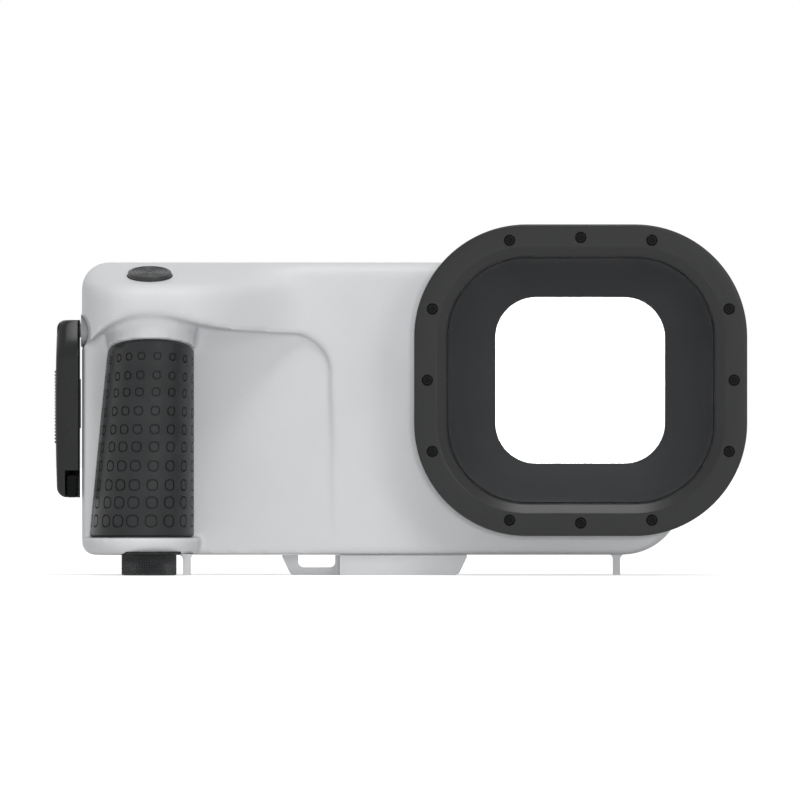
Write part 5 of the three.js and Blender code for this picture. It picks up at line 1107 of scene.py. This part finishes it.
# Seals: O-rings and gaskets of black silicone, moulded and greased when they are laid in their
# grooves. They are shiny where the grease has stayed and dull where it has worn off.
silicone, tree, surface, place = finish("greased_silicone", Specular_IOR_Level=0.5)
grease = node(tree, "ShaderNodeTexNoise", Vector=place, Scale=1 / (6 * MM), Detail=3.0)
tone = node(tree, "ShaderNodeValToRGB", stops=((0, "#17181a"), (1, "#242527")), Fac=grease)
wet = node(tree, "ShaderNodeMapRange", Value=grease, To_Min=0.35, To_Max=0.65)
wire(surface, Base_Color=tone, Roughness=wet)
finish_node(["port_gasket", "glass_gasket", "vent_seal", "shutter_seal", "door_seal",
             *[f"key_seal_{i}" for i in (1, 2, 3)]], silicone)


# Clear pieces: the coated glass of the port, which the funnel presses on its gasket, and the thick
# acrylic window of the door, cut from polished sheet and bonded into the frame from inside.
def clear_pane(name, tint, index, rough, smear_mm):
    """Polished clear sheet: a little uneven gloss from wiping, and a faint body colour."""
    made, tree, surface, place = finish(name, Base_Color=linear(tint), IOR=index, Transmission_Weight=1.0)
    smear = node(tree, "ShaderNodeTexNoise", Vector=place, Scale=1 / (smear_mm * MM), Detail=4.0)
    wiped = node(tree, "ShaderNodeMapRange", Value=smear, From_Min=0.35, From_Max=0.75, To_Min=0.0,
                 To_Max=rough)
    wire(surface, Roughness=wiped)
    return made


finish_node(["port_glass"], clear_pane("coated_port_glass", "#ffffff", 1.52, 0.03, 14))
finish_node(["rear_window"], clear_pane("polished_acrylic", "#feffff", 1.49, 0.04, 18))

# Control board: glass fibre laminate under green solder mask, behind the keys, which press the
# switches on it. The mask is glossy, and the fine copper traces under it stand up a little and look
# paler. Real ones are a few tenths of a millimetre apart and drawn 1.6 mm apart so that they show.
board, tree, surface, place = finish("solder_mask_board", Roughness=0.4, Coat_Weight=0.3)
traces = node(tree, "ShaderNodeTexBrick", {"offset": 0.35}, Vector=place, Scale=1 / (3.2 * MM),
              Mortar_Size=0.06, Color1=linear("#1c5638"), Color2=linear("#206040"), Mortar=linear("#2f7a52"))
relief = node(tree, "ShaderNodeBump", Strength=0.3, Distance=0.03 * MM, Height=traces.outputs["Fac"])
wire(surface, Base_Color=traces, Normal=relief)
finish_node(["control_board"], board)

# Battery cell: a steel can in a sleeve of blue film, shrunk on with heat and pushed into its holder.
# The film is glossy and a little uneven in tone, and its fine wrinkles break the shine.
film, tree, surface, place = finish("shrink_film", Coat_Weight=0.4)
wrinkle = node(tree, "ShaderNodeTexNoise", Vector=place, Scale=1 / (4 * MM), Detail=3.0)
tone = node(tree, "ShaderNodeValToRGB", stops=((0, "#35628f"), (1, "#4676a3")), Fac=wrinkle)
gloss = node(tree, "ShaderNodeMapRange", Value=wrinkle, To_Min=0.25, To_Max=0.45)
relief = node(tree, "ShaderNodeBump", Strength=0.25, Distance=0.1 * MM, Height=wrinkle)
wire(surface, Base_Color=tone, Roughness=gloss, Normal=relief)
finish_node(["battery_cell"], film)

# Floor: a sweep of pale paper, unrolled under the object. It shows the object's shadow and runs out
# to white, because it glows where the camera, a mirror or a clear pane looks straight at it.
floor_size = 14.0
corners = [(x * floor_size, y * floor_size, 0) for x, y in ((-1, -1), (1, -1), (1, 1), (-1, 1))]
floor = bpy.data.objects.new("studio_floor", bpy.data.meshes.new("studio_floor"))
floor.data.from_pydata(corners, [], [(0, 1, 2, 3)])
bpy.context.scene.collection.objects.link(floor)


def seen_directly(tree):
    """1 where the camera, a mirror or a clear pane looks straight at the surface, else 0."""
    path = node(tree, "ShaderNodeLightPath")
    seen = path.outputs["Is Camera Ray"]
    for ray in ("Is Glossy Ray", "Is Transmission Ray"):
        seen = node(tree, "ShaderNodeMath", {"operation": "MAXIMUM"}, i0=seen, i1=path.outputs[ray])
    return seen


# Uncoated paper: matt and nearly white, with a faint cloud of tone about 60 mm wide.
paper, tree, surface, place = finish("pale_paper_sweep", Roughness=0.9, Specular_IOR_Level=0.1,
                                     Emission_Color=linear("#ffffff"))
fibre = node(tree, "ShaderNodeTexNoise", Vector=place, Scale=1 / (60 * MM), Detail=2.0)
tone = node(tree, "ShaderNodeValToRGB", stops=((0, "#e4e4e4"), (1, "#e9e9e9")), Fac=fibre)
away = node(tree, "ShaderNodeVectorMath", {"operation": "LENGTH"}, i0=place)
spread = node(tree, "ShaderNodeMapRange", Value=away.outputs["Value"], From_Min=0.4, From_Max=2.0,
              To_Min=0.52, To_Max=0.82)
glow = node(tree, "ShaderNodeMath", {"operation": "MULTIPLY"}, i0=seen_directly(tree), i1=spread)
wire(surface, Base_Color=tone, Emission_Strength=glow)
floor.data.materials.append(paper)

# Light: an even pale room, a soft key lamp low on the right, and one high up near the middle that
# draws the port's bevel and the lever's facet. Two more light from above and from the front, evenly
# and without a reflection.
middle_height = 0.056
world = bpy.data.worlds.new("pale_room")
bpy.context.scene.world = world
world.use_nodes = True
tree = world.node_tree
tree.nodes.clear()
room = node(tree, "ShaderNodeBackground", Color=linear("#ffffff"), Strength=0.38)
backdrop = node(tree, "ShaderNodeBackground", Color=linear("#ffffff"), Strength=1.0)
either = node(tree, "ShaderNodeMixShader", Fac=seen_directly(tree), i1=room, i2=backdrop)
node(tree, "ShaderNodeOutputWorld", Surface=either)


def soft_lamp(name, turn, rise, distance, size, power, mirrored=True):
    """A square lamp at a turn to the right of the camera and a rise above the floor, in degrees."""
    lamp = bpy.data.objects.new(name, bpy.data.lights.new(name, "AREA"))
    lamp.data.shape, lamp.data.size, lamp.data.energy = "SQUARE", size, power
    turn, rise = math.radians(turn), math.radians(rise)
    way = Vector((math.sin(turn) * math.cos(rise), -math.cos(turn) * math.cos(rise), math.sin(rise)))
    lamp.location = Vector((0, 0, middle_height)) + way * distance
    lamp.rotation_euler = way.to_track_quat("Z", "Y").to_euler()
    lamp.visible_glossy = mirrored
    bpy.context.scene.collection.objects.link(lamp)


soft_lamp("key_lamp", 24, 14, 2.2, 0.5, 5)
soft_lamp("high_lamp", 6, 59, 2.0, 0.5, 8)
soft_lamp("top_lamp", 0, 78, 2.0, 1.0, 10, False)
soft_lamp("front_lamp", 2, 0.5, 2.6, 0.2, 22.5, False)

# Camera: straight on to the front from nine metres. Its very long lens sees hardly any perspective,
# as in the photo, and takes in a view 256 mm wide.
camera_distance, view_width, camera_x = 9, 0.256, -0.0001
camera = bpy.data.objects.new("camera", bpy.data.cameras.new("camera"))
camera.data.sensor_width = 36
camera.data.lens = camera.data.sensor_width * camera_distance / view_width
camera.data.clip_end = 60
camera.location = (camera_x, -camera_distance, middle_height)
camera.rotation_euler = (math.pi / 2, 0, 0)
bpy.context.scene.collection.objects.link(camera)
bpy.context.scene.camera = camera
bpy.context.scene.view_settings.view_transform = "Standard"
